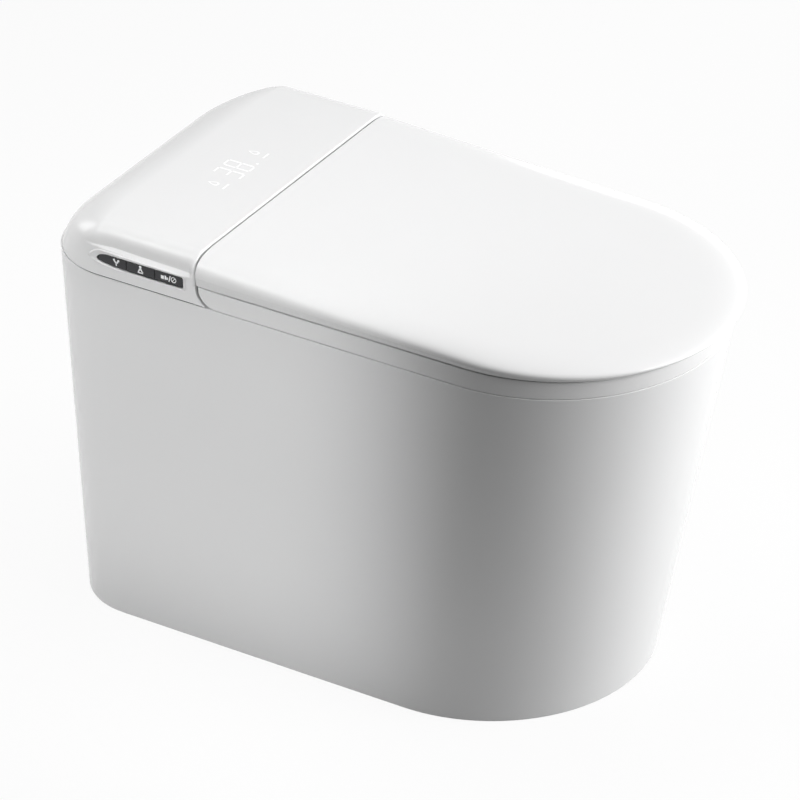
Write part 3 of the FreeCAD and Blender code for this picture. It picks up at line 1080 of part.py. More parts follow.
def build_wand():
    """The wash wand with its rack and tip, the guide it slides in, and its motor and pinion."""
    rod = tilted_rod("wand_rod", "wand_radius", ("tip_length", "wand_length"))
    half = "rack_width / 2"
    strip = tilted_box("rack_strip", (f"-{half}", half),
                       (f"{PINION_ALONG} - 2 * tooth_pitch",
                        f"{PINION_ALONG} + wand_travel + 2 * tooth_pitch"),
                       ("0", f"{RACK_TOP} - tooth_height"))
    teeth = []
    count = int(number("wand_travel / tooth_pitch")) + 4
    for index in range(count):
        middle = f"{PINION_ALONG} + ({index} - 1.5) * tooth_pitch"
        teeth.append(tilted_box(f"rack_tooth_{index}", (f"-{half}", half),
                                (f"{middle} - tooth_pitch / 6", f"{middle} + tooth_pitch / 6"),
                                ("wand_radius / 2", RACK_TOP)))
    finish("nozzle_wand", fuse("nozzle_wand", [rod, strip] + teeth))

    nose = tilted_rod("tip_rod", "wand_radius", ("0", "tip_length"))
    jets = []
    for index in range(3):
        along = f"tip_length / 2 + ({index} - 1) * 3 * jet_radius"
        jets.append(tilted_box(f"jet_{index}", ("-jet_radius", "jet_radius"),
                               (f"{along} - jet_radius", f"{along} + jet_radius"), ("0", "2 * wand_radius")))
    finish("nozzle_tip", cut("nozzle_tip", nose, jets))

    wide = "guide_width / 2"
    tall = "guide_height / 2"
    run = ("guide_start", "guide_start + guide_length")
    block = tilted_box("guide_block", (f"-{wide}", wide), run, (f"-{tall}", tall))
    feet = box("guide_feet", ("-channel_half_width - guide_foot", "channel_half_width + guide_foot"),
               ("guide_foot_back", "guide_foot_back + guide_foot_length"),
               (PLATE_TOP, f"{PLATE_TOP} + guide_foot_height"))
    bore = tilted_rod("guide_bore", "wand_radius + wand_clearance", run)
    slot = tilted_box("guide_slot", (f"-{half} - ear_gap", f"{half} + ear_gap"), run, ("0", "guide_height"))
    finish("nozzle_guide", cut("nozzle_guide", fuse("guide_blank", [block, feet]), [bore, slot]))

    y, z = wand_point(PINION_ALONG, PINION_LIFT)
    barrel = cylinder("motor_barrel", "x", "motor_radius", (wide, y, z), "motor_length")
    socket = cylinder("motor_socket", "x", "pinion_shaft + pin_clearance", (wide, y, z), "motor_length / 2")
    finish("nozzle_motor", cut("nozzle_motor", barrel, [socket]))

    body = doc.addObject("PartDesign::Body", "drive_pinion")
    hub_low = "-pinion_width / 2"
    hub = sketch_on(body, "pinion_hub_sketch", "YZ_Plane", hub_low)
    draw_circle(hub, "0", "0", f"{PITCH_RADIUS} - tooth_height / 2 - pinion_gap / 2")
    pad(body, "pinion_hub", hub, "pinion_width")
    shaft = sketch_on(body, "pinion_shaft_sketch", "YZ_Plane", hub_low)
    draw_circle(shaft, "0", "0", "pinion_shaft")
    pad(body, "pinion_shaft", shaft, f"pinion_width / 2 + {wide} + motor_length / 3")
    tooth = sketch_on(body, "pinion_tooth_sketch", "YZ_Plane", hub_low)
    tip = f"-({PITCH_RADIUS} + tooth_height / 2 - pinion_gap / 2)"
    root = f"-({PITCH_RADIUS} - tooth_height)"
    draw_polygon(tooth, [
        ("-tooth_pitch / 4", root), ("-tooth_pitch / 10", tip), ("tooth_pitch / 10", tip),
                         ("tooth_pitch / 4", root),
    ])
    tooth_pad = pad(body, "pinion_tooth", tooth, "pinion_width")
    ring = body.newObject("PartDesign::PolarPattern", "pinion_ring")
    ring.Originals = [tooth_pad]
    ring.Axis = (origin_axis(body, "X_Axis"), [""])
    ring.Angle = 360
    bind(ring, "Occurrences", "pinion_teeth")
    body.Tip = ring
    body.Placement = FreeCAD.Placement(FreeCAD.Vector(), FreeCAD.Rotation(FreeCAD.Vector(1, 0, 0), 1))
    bind(body, "Placement.Rotation.Angle", "wand_slope")
    place(body, "0", y, z)
    finish("drive_pinion", body)


def origin_axis(body, role):
    """One of a body's own origin axes."""
    return next(axis for axis in body.Origin.OriginFeatures if axis.Role == role)


DUCT_LOW = "(seam_height - air_channel_depth + flap_gap)"
DUCT_TOP = "(seam_height - air_channel_depth + flap_gap + duct_height)"
RISER_TOP = f"({PLATE_TOP} + fan_wall + outlet_height)"
FAN_LOW = PLATE_TOP


def build_dryer():
    """The dryer: a fan in a casing, a duct down through the plate and a flap at its mouth."""
    def x_span(less):
        return f"fan_side - duct_width / 2 + ({less})", f"fan_side + duct_width / 2 - ({less})"

    casing = cylinder("casing_round", "z", "fan_radius", ("fan_side", "fan_back", FAN_LOW), "fan_height")
    spout = box("casing_spout", x_span("0"), ("riser_front + riser_length", "fan_back"), (FAN_LOW, RISER_TOP))
    room = cylinder("casing_room", "z", "fan_radius - fan_wall",
                    ("fan_side", "fan_back", f"{FAN_LOW} + fan_wall"),
                    "fan_height - 2 * fan_wall")
    spout_room = box("spout_room", x_span("duct_wall"), ("riser_front + riser_length", "fan_back"),
                     (f"{FAN_LOW} + fan_wall", f"{RISER_TOP} - fan_wall"))
    eye = cylinder("casing_eye", "z", "impeller_hub * 2", ("fan_side", "fan_back", FAN_LOW), "2 * fan_height")
    floor = cylinder("casing_floor", "z", "fan_radius", ("fan_side", "fan_back", FAN_LOW), "fan_wall")
    stud = cylinder("casing_stud", "z", "fan_shaft", ("fan_side", "fan_back", FAN_LOW), "fan_height / 2")
    open_casing = cut("casing_open", fuse("casing_blank", [casing, spout]), [room, spout_room, eye])
    finish("fan_casing", fuse("fan_casing", [open_casing, floor, stud]))

    body = doc.addObject("PartDesign::Body", "fan_impeller")
    low = f"{FAN_LOW} + fan_wall + impeller_gap"
    tall = "fan_height - 2 * fan_wall - 2 * impeller_gap"
    hub = sketch_on(body, "impeller_hub_sketch", "XY_Plane", "0")
    draw_circle(hub, "0", "0", "impeller_hub")
    pad(body, "impeller_hub", hub, tall)
    blade = sketch_on(body, "impeller_blade_sketch", "XY_Plane", "0")
    reach = "fan_radius - fan_wall - impeller_gap"
    draw_polygon(blade, [
        ("impeller_hub / 2", "-blade_thickness / 2"), (reach, "-blade_thickness / 2"),
        (reach, "blade_thickness / 2"), ("impeller_hub / 2", "blade_thickness / 2"),
    ])
    blade_pad = pad(body, "impeller_blade", blade, tall)
    blades = body.newObject("PartDesign::PolarPattern", "impeller_ring")
    blades.Originals = [blade_pad]
    blades.Axis = (origin_axis(body, "Z_Axis"), [""])
    blades.Angle = 360
    bind(blades, "Occurrences", "impeller_blades")
    body.Tip = blades
    bore = sketch_on(body, "impeller_bore_sketch", "XY_Plane", tall)
    draw_circle(bore, "0", "0", "fan_shaft + pin_clearance")
    pocket(body, "impeller_bore", bore, tall)
    place(body, "fan_side", "fan_back", low)
    finish("fan_impeller", body)

    run_outer = box("duct_run", x_span("0"), ("duct_front", "riser_front + riser_length"),
                    (DUCT_LOW, DUCT_TOP))
    riser = box("duct_riser", x_span("0"), ("riser_front", "riser_front + riser_length"),
                (DUCT_LOW, RISER_TOP))
    run_inner = box("duct_run_room", x_span("duct_wall"),
                    ("duct_front", "riser_front + riser_length - duct_wall"),
                    (f"{DUCT_LOW} + duct_wall", f"{DUCT_TOP} - duct_wall"))
    riser_inner = box("duct_riser_room", x_span("duct_wall"),
                      ("riser_front + duct_wall", "riser_front + riser_length - duct_wall"),
                      (f"{DUCT_LOW} + duct_wall", f"{RISER_TOP} - fan_wall"))
    mouth = box("duct_mouth", x_span("duct_wall"), ("riser_front + duct_wall", "riser_front + riser_length"),
                (f"{FAN_LOW} + fan_wall", f"{RISER_TOP} - fan_wall"))
    axis_y = "(duct_front - cheek_length / 2)"
    axis_z = f"({DUCT_TOP} - 2 * flap_pin)"
    cheeks = []
    bores = []
    for index, low_x in enumerate((x_span("0")[0], f"{x_span('0')[1]} - duct_wall")):
        cheeks.append(box(f"cheek_{index}", (low_x, f"{low_x} + duct_wall"),
                          ("duct_front - cheek_length", "duct_front"),
                          (DUCT_LOW, DUCT_TOP)))
        bores.append(cylinder(f"cheek_bore_{index}", "x", "flap_pin + pin_clearance",
                              (low_x, axis_y, axis_z), "duct_wall"))
    blank = fuse("duct_blank", [run_outer, riser] + cheeks)
    finish("air_duct", cut("air_duct", blank, [run_inner, riser_inner, mouth] + bores))

    low_x, high_x = x_span("duct_wall + flap_gap")
    leaf = box("flap_leaf", (low_x, high_x),
               (f"{axis_y} - flap_thickness / 2", f"{axis_y} + flap_thickness / 2"),
               (f"{DUCT_LOW} + flap_gap", axis_z))
    pin_low, pin_high = x_span("flap_gap / 3")
    pin = cylinder("flap_pin_rod", "x", "flap_pin", (pin_low, axis_y, axis_z), f"({pin_high}) - ({pin_low})")
    finish("dryer_flap", fuse("dryer_flap", [leaf, pin]))


def build_works():
    """Water heater, inlet valve, electrics, and the tank with its pump and hose."""
    def block(name, side, back, width, length, height):
        return box(name, (f"{side} - {width} / 2", f"{side} + {width} / 2"),
                   (f"{back} - {length} / 2", f"{back} + {length} / 2"),
                   (PLATE_TOP, f"{PLATE_TOP} + {height}"))

    finish("water_heater", block("water_heater", "heater_side", "heater_back", "heater_width",
                                 "heater_length",
                                 "heater_height"))
    finish("power_supply", block("power_supply", "-supply_side", "supply_back", "supply_width",
                                 "supply_length",
                                 "supply_height"))
    valve = block("valve_block", "valve_side", "valve_back", "valve_width", "valve_length", "valve_height")
    valve_rear = "valve_back + valve_length / 2"
    water_way = cylinder("valve_water_way", "y", "inlet_bore", ("valve_side", "valve_back", "inlet_height"),
                         "valve_length / 2")
    finish("inlet_valve", cut("inlet_valve", valve, [water_way]))
    neck = cylinder("inlet_neck_rod", "y", "inlet_neck", ("valve_side", valve_rear, "inlet_height"),
                    f"inlet_end - inlet_thread - ({valve_rear})")
    thread = cylinder("inlet_thread_rod", "y", "inlet_radius",
                      ("valve_side", "inlet_end - inlet_thread", "inlet_height"), "inlet_thread")
    stub = fuse("inlet_stub", [neck, thread])
    way = cylinder("inlet_way", "y", "inlet_bore", ("valve_side", valve_rear, "inlet_height"),
                   f"inlet_end - ({valve_rear})")
    finish("inlet_fitting", cut("inlet_fitting", stub, [way]))
    link_low = "valve_side + valve_width / 2"
    link_y = "(valve_back - valve_length / 2 + heater_back + heater_length / 2) / 2"
    finish("heater_pipe", cylinder("heater_pipe", "x", "link_radius",
                                   (link_low, link_y, f"{PLATE_TOP} + heater_height / 2"),
                                   f"heater_side - heater_width / 2 - ({link_low})"))

    spacer_top = f"{PLATE_TOP} + board_lift"
    card = box("board_card", ("board_side - board_width / 2", "board_side + board_width / 2"),
               ("board_back - board_length / 2", "board_back + board_length / 2"),
               (spacer_top, f"{spacer_top} + circuit_thickness"))
    chips = []
    for index in range(3):
        middle = f"board_side + ({index} - 1) * board_width / 3"
        chips.append(box(f"board_chip_{index}", (f"{middle} - chip_height", f"{middle} + chip_height"),
                         ("board_back - chip_height", "board_back + chip_height"),
                         (spacer_top, f"{spacer_top} + circuit_thickness + chip_height")))
    spacers = []
    for side in (1, -1):
        for along in (1, -1):
            x = f"board_side + {side} * (board_width / 2 - spacer_radius)"
            y = f"board_back + {along} * (board_length / 2 - spacer_radius)"
            spacers.append(cylinder(f"board_spacer_{len(spacers)}", "z", "spacer_radius", (x, y, PLATE_TOP),
                                    "board_lift"))
    finish("control_board", fuse("control_board", [card] + chips + spacers))

    sleeve = cylinder("gland_sleeve", "y", "gland_radius", ("-gland_side", "gland_front", "gland_height"),
                      "gland_length")
    cord_way = cylinder("gland_way", "y", "gland_bore", ("-gland_side", "gland_front", "gland_height"),
                        "gland_length")
    finish("cord_gland", cut("cord_gland", sleeve, [cord_way]))

    x_out = ("-tank_half_width", "tank_half_width")
    x_in = ("tank_wall - tank_half_width", "tank_half_width - tank_wall")
    tank_low = f"({PLATE_LOW} - tank_depth)"
    outer = box("tank_outer", x_out, ("tank_front", "tank_rear"), (tank_low, PLATE_LOW))
    inner = box("tank_inner", x_in, ("tank_front + tank_wall", "tank_rear - tank_wall"),
                (f"{tank_low} + tank_wall", PLATE_LOW))
    hose_way = cylinder("tank_hose_way", "y", "hose_radius", ("-pump_side", "tank_front", "hose_height"),
                        "tank_wall")
    finish("flush_tank", cut("flush_tank", outer, [inner, hose_way]))
    middle = "(tank_front + tank_rear) / 2"
    pump_low = f"({tank_low} + tank_wall)"
    finish("flush_pump", cylinder("flush_pump", "z", "pump_radius", ("-pump_side", middle, pump_low),
                                  "pump_height"))

    pump_top = f"({pump_low} + pump_height)"

    def hose(name, radius):
        upright = cylinder(f"{name}_upright", "z", radius, ("-pump_side", middle, pump_top),
                           f"hose_height - hose_bend - {pump_top}")
        run = cylinder(f"{name}_run", "y", radius, ("-pump_side", "hose_end", "hose_height"),
                       f"{middle} - hose_bend - hose_end")
        bend = doc.addObject("Part::Torus", f"{name}_bend")
        bind(bend, "Radius1", "hose_bend")
        bind(bend, "Radius2", radius)
        bend.Angle3 = 90
        bend.Placement = FreeCAD.Placement(FreeCAD.Vector(), FreeCAD.Rotation(FreeCAD.Vector(1, 1, 1), 120))
        place(bend, "-pump_side", f"{middle} - hose_bend", "hose_height - hose_bend")
        return fuse(name, [upright, run, bend])

    finish("flush_hose", cut("flush_hose", hose("hose_outer", "hose_radius"),
                             [hose("hose_inner", "hose_bore")]))


build_ceramic()
build_floor_fixings()
build_base_plate()
build_hinge()
build_seat()
build_lid()
build_cover()
build_buttons()
build_display()
build_wand()
build_dryer()
build_works()

doc.recompute()
os.makedirs("parts", exist_ok=True)
for item in doc.Objects:
    if "Invalid" in item.State or "Error" in item.State:
        raise RuntimeError(f"{item.Label} was not built")
for part in PARTS:
    shape = part.Shape
    if shape.isNull() or not shape.isValid():
        raise RuntimeError(f"{part.Label} is not a valid shape")
    box_of = shape.optimalBoundingBox(False)
    print(f"{part.Label:20s} solids {len(shape.Solids)} volume {shape.Volume / 1000:9.1f} cm3"
          f"  x {box_of.XMin:7.1f} {box_of.XMax:7.1f}  y {box_of.YMin:7.1f} {box_of.YMax:7.1f}"
          f"  z {box_of.ZMin:7.1f} {box_of.ZMax:7.1f}")
    shape.exportStep(f"parts/{part.Label}.step")
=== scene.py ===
# %% [markdown]
# # A smart toilet in white glaze and white plastic
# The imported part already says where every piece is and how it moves. This lesson keeps that frame and
# makes the skins that the eye meets again as smooth surfaces, because a glossy white form has almost no
# colour to look at: its shape shows only in how softly light runs over it, and flat facets would break that.

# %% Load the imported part
import json
import math

import bmesh
import bpy
import numpy as np
from mathutils import Matrix, Vector


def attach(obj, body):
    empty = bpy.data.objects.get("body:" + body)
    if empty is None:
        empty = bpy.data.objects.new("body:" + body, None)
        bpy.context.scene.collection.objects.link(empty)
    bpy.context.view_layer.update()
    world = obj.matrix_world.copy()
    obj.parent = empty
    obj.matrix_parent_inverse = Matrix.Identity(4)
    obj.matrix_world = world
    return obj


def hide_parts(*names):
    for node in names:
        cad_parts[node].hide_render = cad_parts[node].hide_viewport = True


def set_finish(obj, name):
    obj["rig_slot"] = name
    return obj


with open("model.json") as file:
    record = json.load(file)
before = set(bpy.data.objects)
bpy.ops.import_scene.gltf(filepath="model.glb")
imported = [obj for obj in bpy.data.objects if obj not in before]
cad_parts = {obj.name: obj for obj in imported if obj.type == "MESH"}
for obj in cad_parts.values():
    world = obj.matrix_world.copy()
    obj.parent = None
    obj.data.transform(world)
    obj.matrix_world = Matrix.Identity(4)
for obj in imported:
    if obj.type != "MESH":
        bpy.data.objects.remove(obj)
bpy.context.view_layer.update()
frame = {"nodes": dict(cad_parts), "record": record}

# %% [markdown]
# ## Grids of points
# Every skin below is a grid: rows of points that follow each other over the surface. Numpy works out a whole
# grid at once, and one helper turns grids into a mesh. Points are in millimetres here, as a maker would
# write them, and become metres when the mesh is made. Points that fall together, at poles and seams, are
# welded, so each skin is closed.

# %% Helpers for grids
MM = 0.001
WELD = 1e-6


def quads(rows, columns, wrap):
    """Corner numbers of every cell of a grid of points; wrap joins the last column to the first."""
    row = np.arange(rows - 1)[:, None]
    column = np.arange(columns if wrap else columns - 1)[None, :]
    after = (column + 1) % columns
    corners = (row * columns + column, row * columns + after,
               (row + 1) * columns + after, (row + 1) * columns + column)
    return np.stack(np.broadcast_arrays(*corners), axis=-1).reshape(-1, 4)


def sheet_of(points, wrap=True):
    """One grid of points, rows by columns by xyz, as a patch: its points in a row and its faces."""
    rows, columns = points.shape[:2]
    return points.reshape(-1, 3), quads(rows, columns, wrap)


def shell_of(outer, inner, wrap):
    """Two grids of one size as a thick shell: the outer one, the inner one turned round, and strips that
    close the first row and, where the grid doesn't wrap, the first and last columns."""
    rows, columns = outer.shape[:2]
    points = np.concatenate([outer.reshape(-1, 3), inner.reshape(-1, 3)])
    faces = quads(rows, columns, wrap)
    half = rows * columns
    edges = [np.arange(columns + 1) % columns if wrap else np.arange(columns)]
    if not wrap:
        edges.append(np.arange(rows) * columns)
        edges.append(np.arange(rows) * columns + columns - 1)
    parts = [faces, faces[:, ::-1] + half]
    for edge in edges:
        parts.append(np.stack([edge[:-1], edge[1:], edge[1:] + half, edge[:-1] + half], axis=-1))
    return points, np.concatenate(parts)


def drum(low, high):
    """A closed solid between two outlines with as many points each: two fans and a band."""
    rows = np.stack([np.broadcast_to(low.mean(0), low.shape), low, high,
                     np.broadcast_to(high.mean(0), high.shape)])
    return sheet_of(rows)


def join(*patches):
    """Several patches as one: the points in a row and the faces counted on."""
    starts = np.cumsum([0] + [len(points) for points, faces in patches])
    points = np.concatenate([points for points, faces in patches])
    faces = np.concatenate([faces + start for (_, faces), start in zip(patches, starts)])
    return points, faces


def make_piece(name, *patches):
    """A mesh object at the origin from patches in millimetres, welded, with its faces outwards."""
    points, faces = join(*patches)
    mesh = bpy.data.meshes.new(name)
    mesh.from_pydata((points * MM).tolist(), [], faces.tolist())
    sew = bmesh.new()
    sew.from_mesh(mesh)
    bmesh.ops.remove_doubles(sew, verts=sew.verts, dist=WELD)
    bmesh.ops.recalc_face_normals(sew, faces=sew.faces)
    sew.to_mesh(mesh)
    sew.free()
    piece = bpy.data.objects.new(name, mesh)
    bpy.context.scene.collection.objects.link(piece)
    return piece


def carve(piece, *cutters):
    """Takes closed cutters out of a closed piece and removes them."""
    for cutter in cutters:
        change = piece.modifiers.new("carve", "BOOLEAN")
        change.operation = "DIFFERENCE"
        change.solver = "EXACT"
        change.object = cutter
    solved = piece.evaluated_get(bpy.context.evaluated_depsgraph_get())
    mesh = bpy.data.meshes.new_from_object(solved)
    piece.modifiers.clear()
    piece.data = mesh
    for cutter in cutters:
        bpy.data.objects.remove(cutter)


def dress(piece, body, slot, *nodes, sharp=25):
    """Smooth shading up to an angle in degrees, then the piece rides its body and stands for its nodes."""
    piece.data.shade_smooth()
    piece.data.set_sharp_from_angle(angle=math.radians(sharp))
    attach(piece, body)
    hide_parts(*nodes)
    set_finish(piece, slot)
    print(piece.name, len(piece.data.vertices), "points ride on", body)
    return piece


def block(name, low, high):
    """A box between two corners, as a cutter."""
    corner = np.array([[low[0], low[1]], [high[0], low[1]], [high[0], high[1]], [low[0], high[1]]], float)
    return make_piece(name, drum(np.c_[corner, np.full(4, low[2])], np.c_[corner, np.full(4, high[2])]))


def rod(name, radius, start, end, steps=64):
    """A round bar between two points, as a cutter: a circle across the bar, carried along it."""
    start, end = np.array(start, float), np.array(end, float)
    along = (end - start) / np.linalg.norm(end - start)
    side = np.cross(along, [1.0, 0.0, 0.0])
    side /= np.linalg.norm(side)
    other = np.cross(along, side)
    turn = np.linspace(0, 2 * np.pi, steps, endpoint=False)[:, None]
    circle = radius * (np.cos(turn) * side + np.sin(turn) * other)
    return make_piece(name, drum(start + circle, end + circle))


print("grids are in millimetres and meshes in metres, so the scale is", MM)

# %% [markdown]
# ## The plan
# Seen from above the toilet is a long U: a half circle at the front and straight sides. The seat and the lid
# end there, and the china goes on round two large rear corners. Both curves are written once, for whole
# columns of sizes, so that a skin is one call with a list of its rows.

# %% Curves seen from above
SIDE_STEPS = 44
NOSE_STEPS = 121
CORNER_STEPS = 25
REAR_STEPS = 24
SIDE_CROWDING = 1.6
side_share = np.linspace(0, 1, SIDE_STEPS) ** SIDE_CROWDING
nose_turn = np.linspace(np.pi, 2 * np.pi, NOSE_STEPS)
corner_turn = np.linspace(0, np.pi / 2, CORNER_STEPS)


def as_rows(*values):
    """Sizes as columns, one row of a skin each."""
    lists = [np.atleast_1d(np.asarray(value, float)) for value in values]
    return [column[:, None] for column in np.broadcast_arrays(*lists)]


def u_curve(half, front, rear):
    """The open U: forward along -X from the rear, a half circle round the front, back along +X."""
    half, front, rear = as_rows(half, front, rear)
    heart = front + half
    side = rear + (heart - rear) * side_share[None, :]
    x = np.concatenate([-half + 0 * side[:, :-1], half * np.cos(nose_turn), half + 0 * side[:, 1:]], axis=1)
    y = np.concatenate([side[:, :-1], heart + half * np.sin(nose_turn), side[:, ::-1][:, 1:]], axis=1)
    return x, y


def o_curve(half, front, rear, corner):
    """The closed curve: the U up to its rear corners, two quarter circles and the straight rear."""
    half, front, rear, corner = as_rows(half, front, rear, corner)
    x, y = u_curve(half[:, 0], front[:, 0], (rear - corner)[:, 0])
    across = (half - corner) * np.linspace(1, -1, REAR_STEPS)[None, :]
    x = np.concatenate([x, half - corner + corner * np.cos(corner_turn[1:]), across[:, 1:-1],
                        corner - half - corner * np.sin(corner_turn[:-1])], axis=1)
    y = np.concatenate([y, rear - corner + corner * np.sin(corner_turn[1:]), rear + 0 * across[:, 1:-1],
                        rear - corner + corner * np.cos(corner_turn[:-1])], axis=1)
    return x, y


def oval(half_width, half_length, middle, heading):
    """Points of ovals that lie in given directions from their middle: width times length over the root of
    the crossed squares."""
    half_width, half_length, middle = as_rows(half_width, half_length, middle)
    reach = half_width * half_length / np.hypot(half_length * np.cos(heading), half_width * np.sin(heading))
    return reach * np.cos(heading), middle + reach * np.sin(heading)


def at_height(x, y, z):
    """Rows of plan points with their heights as one grid."""
    z = np.broadcast_to(np.asarray(z, float).reshape(len(x), -1), x.shape)
    return np.stack([x, y, z], axis=-1)


print("a plan has", NOSE_STEPS, "points round the nose and", SIDE_STEPS, "along each side")

# %% [markdown]
# ## The china
# The pedestal is one casting of vitreous china: a skirt that leans out from the foot to the seam, a level
# deck, and the bowl hung from it. It could be cut from a box with a subdivision modifier, but its straight
# leaning walls are ruled, so rows of the same plan between foot and seam give them exactly. One long profile
# is carried round the plan: up the inside, out under the foot, up the skirt, over a soft edge to the deck,
# over the rim and down into the bowl. The tray and channels for the works are then carved out.

# %% The china body with its bowl
SEAM = dict(half=175.6, front=-324.5, rear=335.5, corner=82.0)
FOOT = dict(half=167.5, front=-253.0, rear=314.0, corner=72.0)
SEAM_Z = 388.0
WALL = 11.0
FOOT_ROUND = 2.0
EDGE_ROUND = 0.8
RIM_ROUND = 6.0
CUFF = 1.0
DECK_Z = 343.0
BOWL = dict(width=121.0, length=172.0, middle=-88.0, depth=183.0)
SUMP = dict(width=50.0, length=62.0, middle=-20.0)
TRAY = ((-142, 95, 376), (142, 302, 400))
TANK_WELL = ((-106, 190, 330), (106, 293, 380))
WAND_CHANNEL = ((-25, 39, 354), (25, 191, 400))
AIR_CHANNEL = ((44, 40, 368), (104, 161, 400))
TRAP_MOUTH = (27.0, (0, -20, 232.4), (0, 64.2, 286.4))
FLUSH_JET = (9.1, (-60, -20, 338), (-60, 110, 338))
bowl_drop = (0.0, 0.32, 0.68, 1.0)
bowl_open = np.polyfit(bowl_drop, (1.0, 0.92, 0.55, 0.0), 3)
bowl_slide = np.polyfit(bowl_drop, (0.0, 0.06, 0.42, 1.0), 3)


def skirt(share, inset, z):
    """Rows of the skirt: the plan between foot and seam at a share of the height, drawn in by an inset."""
    share, inset, z = (np.atleast_1d(np.asarray(v, float)) for v in (share, inset, z))
    plan = {key: FOOT[key] + (SEAM[key] - FOOT[key]) * share for key in FOOT}
    x, y = o_curve(plan["half"] - inset, plan["front"] + inset, plan["rear"] - inset, plan["corner"] - inset)
    return at_height(x, y, z + 0 * share)


seam_x, seam_y = o_curve(**SEAM)
bowl_heading = np.arctan2(seam_y - BOWL["middle"], seam_x)


def bowl_rows(drop, more, z):
    """Rows of the bowl: ovals that close from the mouth to the floor and slide back as they go down."""
    drop = np.atleast_1d(np.asarray(drop, float))
    opening = np.polyval(bowl_open, drop)
    slide = np.polyval(bowl_slide, drop)
    x, y = oval(SUMP["width"] + (BOWL["width"] - SUMP["width"]) * opening + more,
                SUMP["length"] + (BOWL["length"] - SUMP["length"]) * opening + more,
                BOWL["middle"] + (SUMP["middle"] - BOWL["middle"]) * slide, bowl_heading)
    return at_height(x, y, z + 0 * drop)


def between(first, last, steps):
    """Rows that run straight from one row to another, without the two themselves."""
    share = np.linspace(0, 1, steps + 2)[1:-1, None, None]
    return first + (last - first) * share


def pole(row, height):
    """A row drawn together into the middle of the bowl's floor."""
    return np.broadcast_to(np.array([0.0, SUMP["middle"], height]), row.shape)


quarter = np.linspace(0, np.pi / 2, 9)
under_drop = np.linspace(1, (SEAM_Z - WALL - DECK_Z) / BOWL["depth"], 16)
bowl_under = bowl_rows(under_drop, WALL, SEAM_Z - WALL - BOWL["depth"] * under_drop)
deck_under = skirt(DECK_Z / SEAM_Z, WALL, DECK_Z)
foot_inside = skirt(0.0, WALL, 0.0)
foot_edge = skirt(0.0, FOOT_ROUND * (1 - np.sin(quarter)), FOOT_ROUND * (1 - np.cos(quarter)))
wall_share = np.linspace(FOOT_ROUND / SEAM_Z, 1 - EDGE_ROUND / SEAM_Z, 40)
wall = skirt(wall_share, 0.0, SEAM_Z * wall_share)
top_edge = skirt(1.0, EDGE_ROUND * (1 - np.cos(quarter)), SEAM_Z - EDGE_ROUND * (1 - np.sin(quarter)))
deck_start = skirt(1.0, EDGE_ROUND + CUFF, SEAM_Z)
rim = bowl_rows(0 * quarter, RIM_ROUND * (1 - np.sin(quarter)), SEAM_Z - RIM_ROUND * (1 - np.cos(quarter)))
rim_start = bowl_rows(0.0, RIM_ROUND + CUFF, SEAM_Z)
bowl_share = np.linspace(RIM_ROUND / BOWL["depth"], 1.0, 48)[1:]
bowl_inside = bowl_rows(bowl_share, 0.0, SEAM_Z - BOWL["depth"] * bowl_share)
floor_z = SEAM_Z - BOWL["depth"]
china_rows = np.concatenate([
    pole(bowl_under[:1], floor_z - WALL), bowl_under, between(bowl_under[-1:], deck_under, 3), deck_under,
    between(deck_under, foot_inside, 4), foot_inside, foot_edge, wall, top_edge, deck_start,
    between(deck_start, rim_start, 8), rim_start, rim, bowl_inside,
    between(bowl_inside[-1:], pole(bowl_inside[-1:], floor_z), 4), pole(bowl_inside[-1:], floor_z)])
china = make_piece("china_body", sheet_of(china_rows))
carve(china,
      block("tray", *TRAY),
      block("tank_well", *TANK_WELL),
      block("wand_channel", *WAND_CHANNEL),
      block("air_channel", *AIR_CHANNEL),
      rod("trap_mouth", *TRAP_MOUTH),
      rod("flush_jet", *FLUSH_JET))
dress(china, "toilet", "glazed_china", "ceramic_body", "ceramic_bowl")

# %% [markdown]
# ## The seat
# The seat is a flat heated ring with a soft edge, and two arms at the rear that end in a round heel. A ring
# is a profile carried round two curves at once: the outer plan and the oval hole. Its underside follows the
# heel by lifting each point of the lower edge along a circle. A small step below the lid makes the dark line
# between the two. The bay between the arms is carved out, and two ears are added that carry the hinge pins.

# %% The seat ring and its ears
HINGE_Y = 120.0
HINGE_Z = 432.0
EYE = 4.3
WEB = 3.2
BORE = 2.08
EAR_WIDTH = 8.0
SEAT_EAR_X, SEAT_EAR_REACH = 131.0, -24.0
TINY = 1e-6
SEAT = dict(half=175.2, low_front=-324.5, top_front=-328.0, rear=139.5, corner=1.5, low=388.9, top=410.0)
SEAT_HOLE = dict(width=108.0, length=148.0, middle=-108.0)
HEEL = 20.0
SEAT_EDGE = 0.6
SHADOW_GAP = 2.0
SHADOW_INSET = 2.6
HOLE_EDGE = 8.0
BRIDGE_Y = 106.0
ARM_X = 131.0
BAY = ((-ARM_X, BRIDGE_Y, 380), (ARM_X, 150, 420))
HEEL_END = 0.05


def ear(inner, width, reach, side):
    """A hinge ear: seen along the pin it is a circle joined to a web that reaches up or down to its carrier.
    In each direction its edge lies at the further of the two, and a bore runs through its middle."""
    turn = np.linspace(0, 2 * np.pi, 96, endpoint=False)
    across, up = np.cos(turn), np.sin(turn)
    wide = np.where(across < 0, EYE, WEB) / np.maximum(np.abs(across), TINY)
    high = np.where(up * reach > 0, abs(reach), 0.0) / np.maximum(np.abs(up), TINY)
    edge = np.maximum(EYE, np.minimum(wide, high))
    bore = np.full_like(edge, BORE)
    radius = np.stack([bore, edge, edge, bore, bore])
    x = side * (inner + width * np.array([0.0, 0.0, 1.0, 1.0, 0.0]))[:, None]
    rows = np.stack([x + 0 * radius, HINGE_Y + radius * across, HINGE_Z + radius * up], axis=-1)
    return sheet_of(rows)


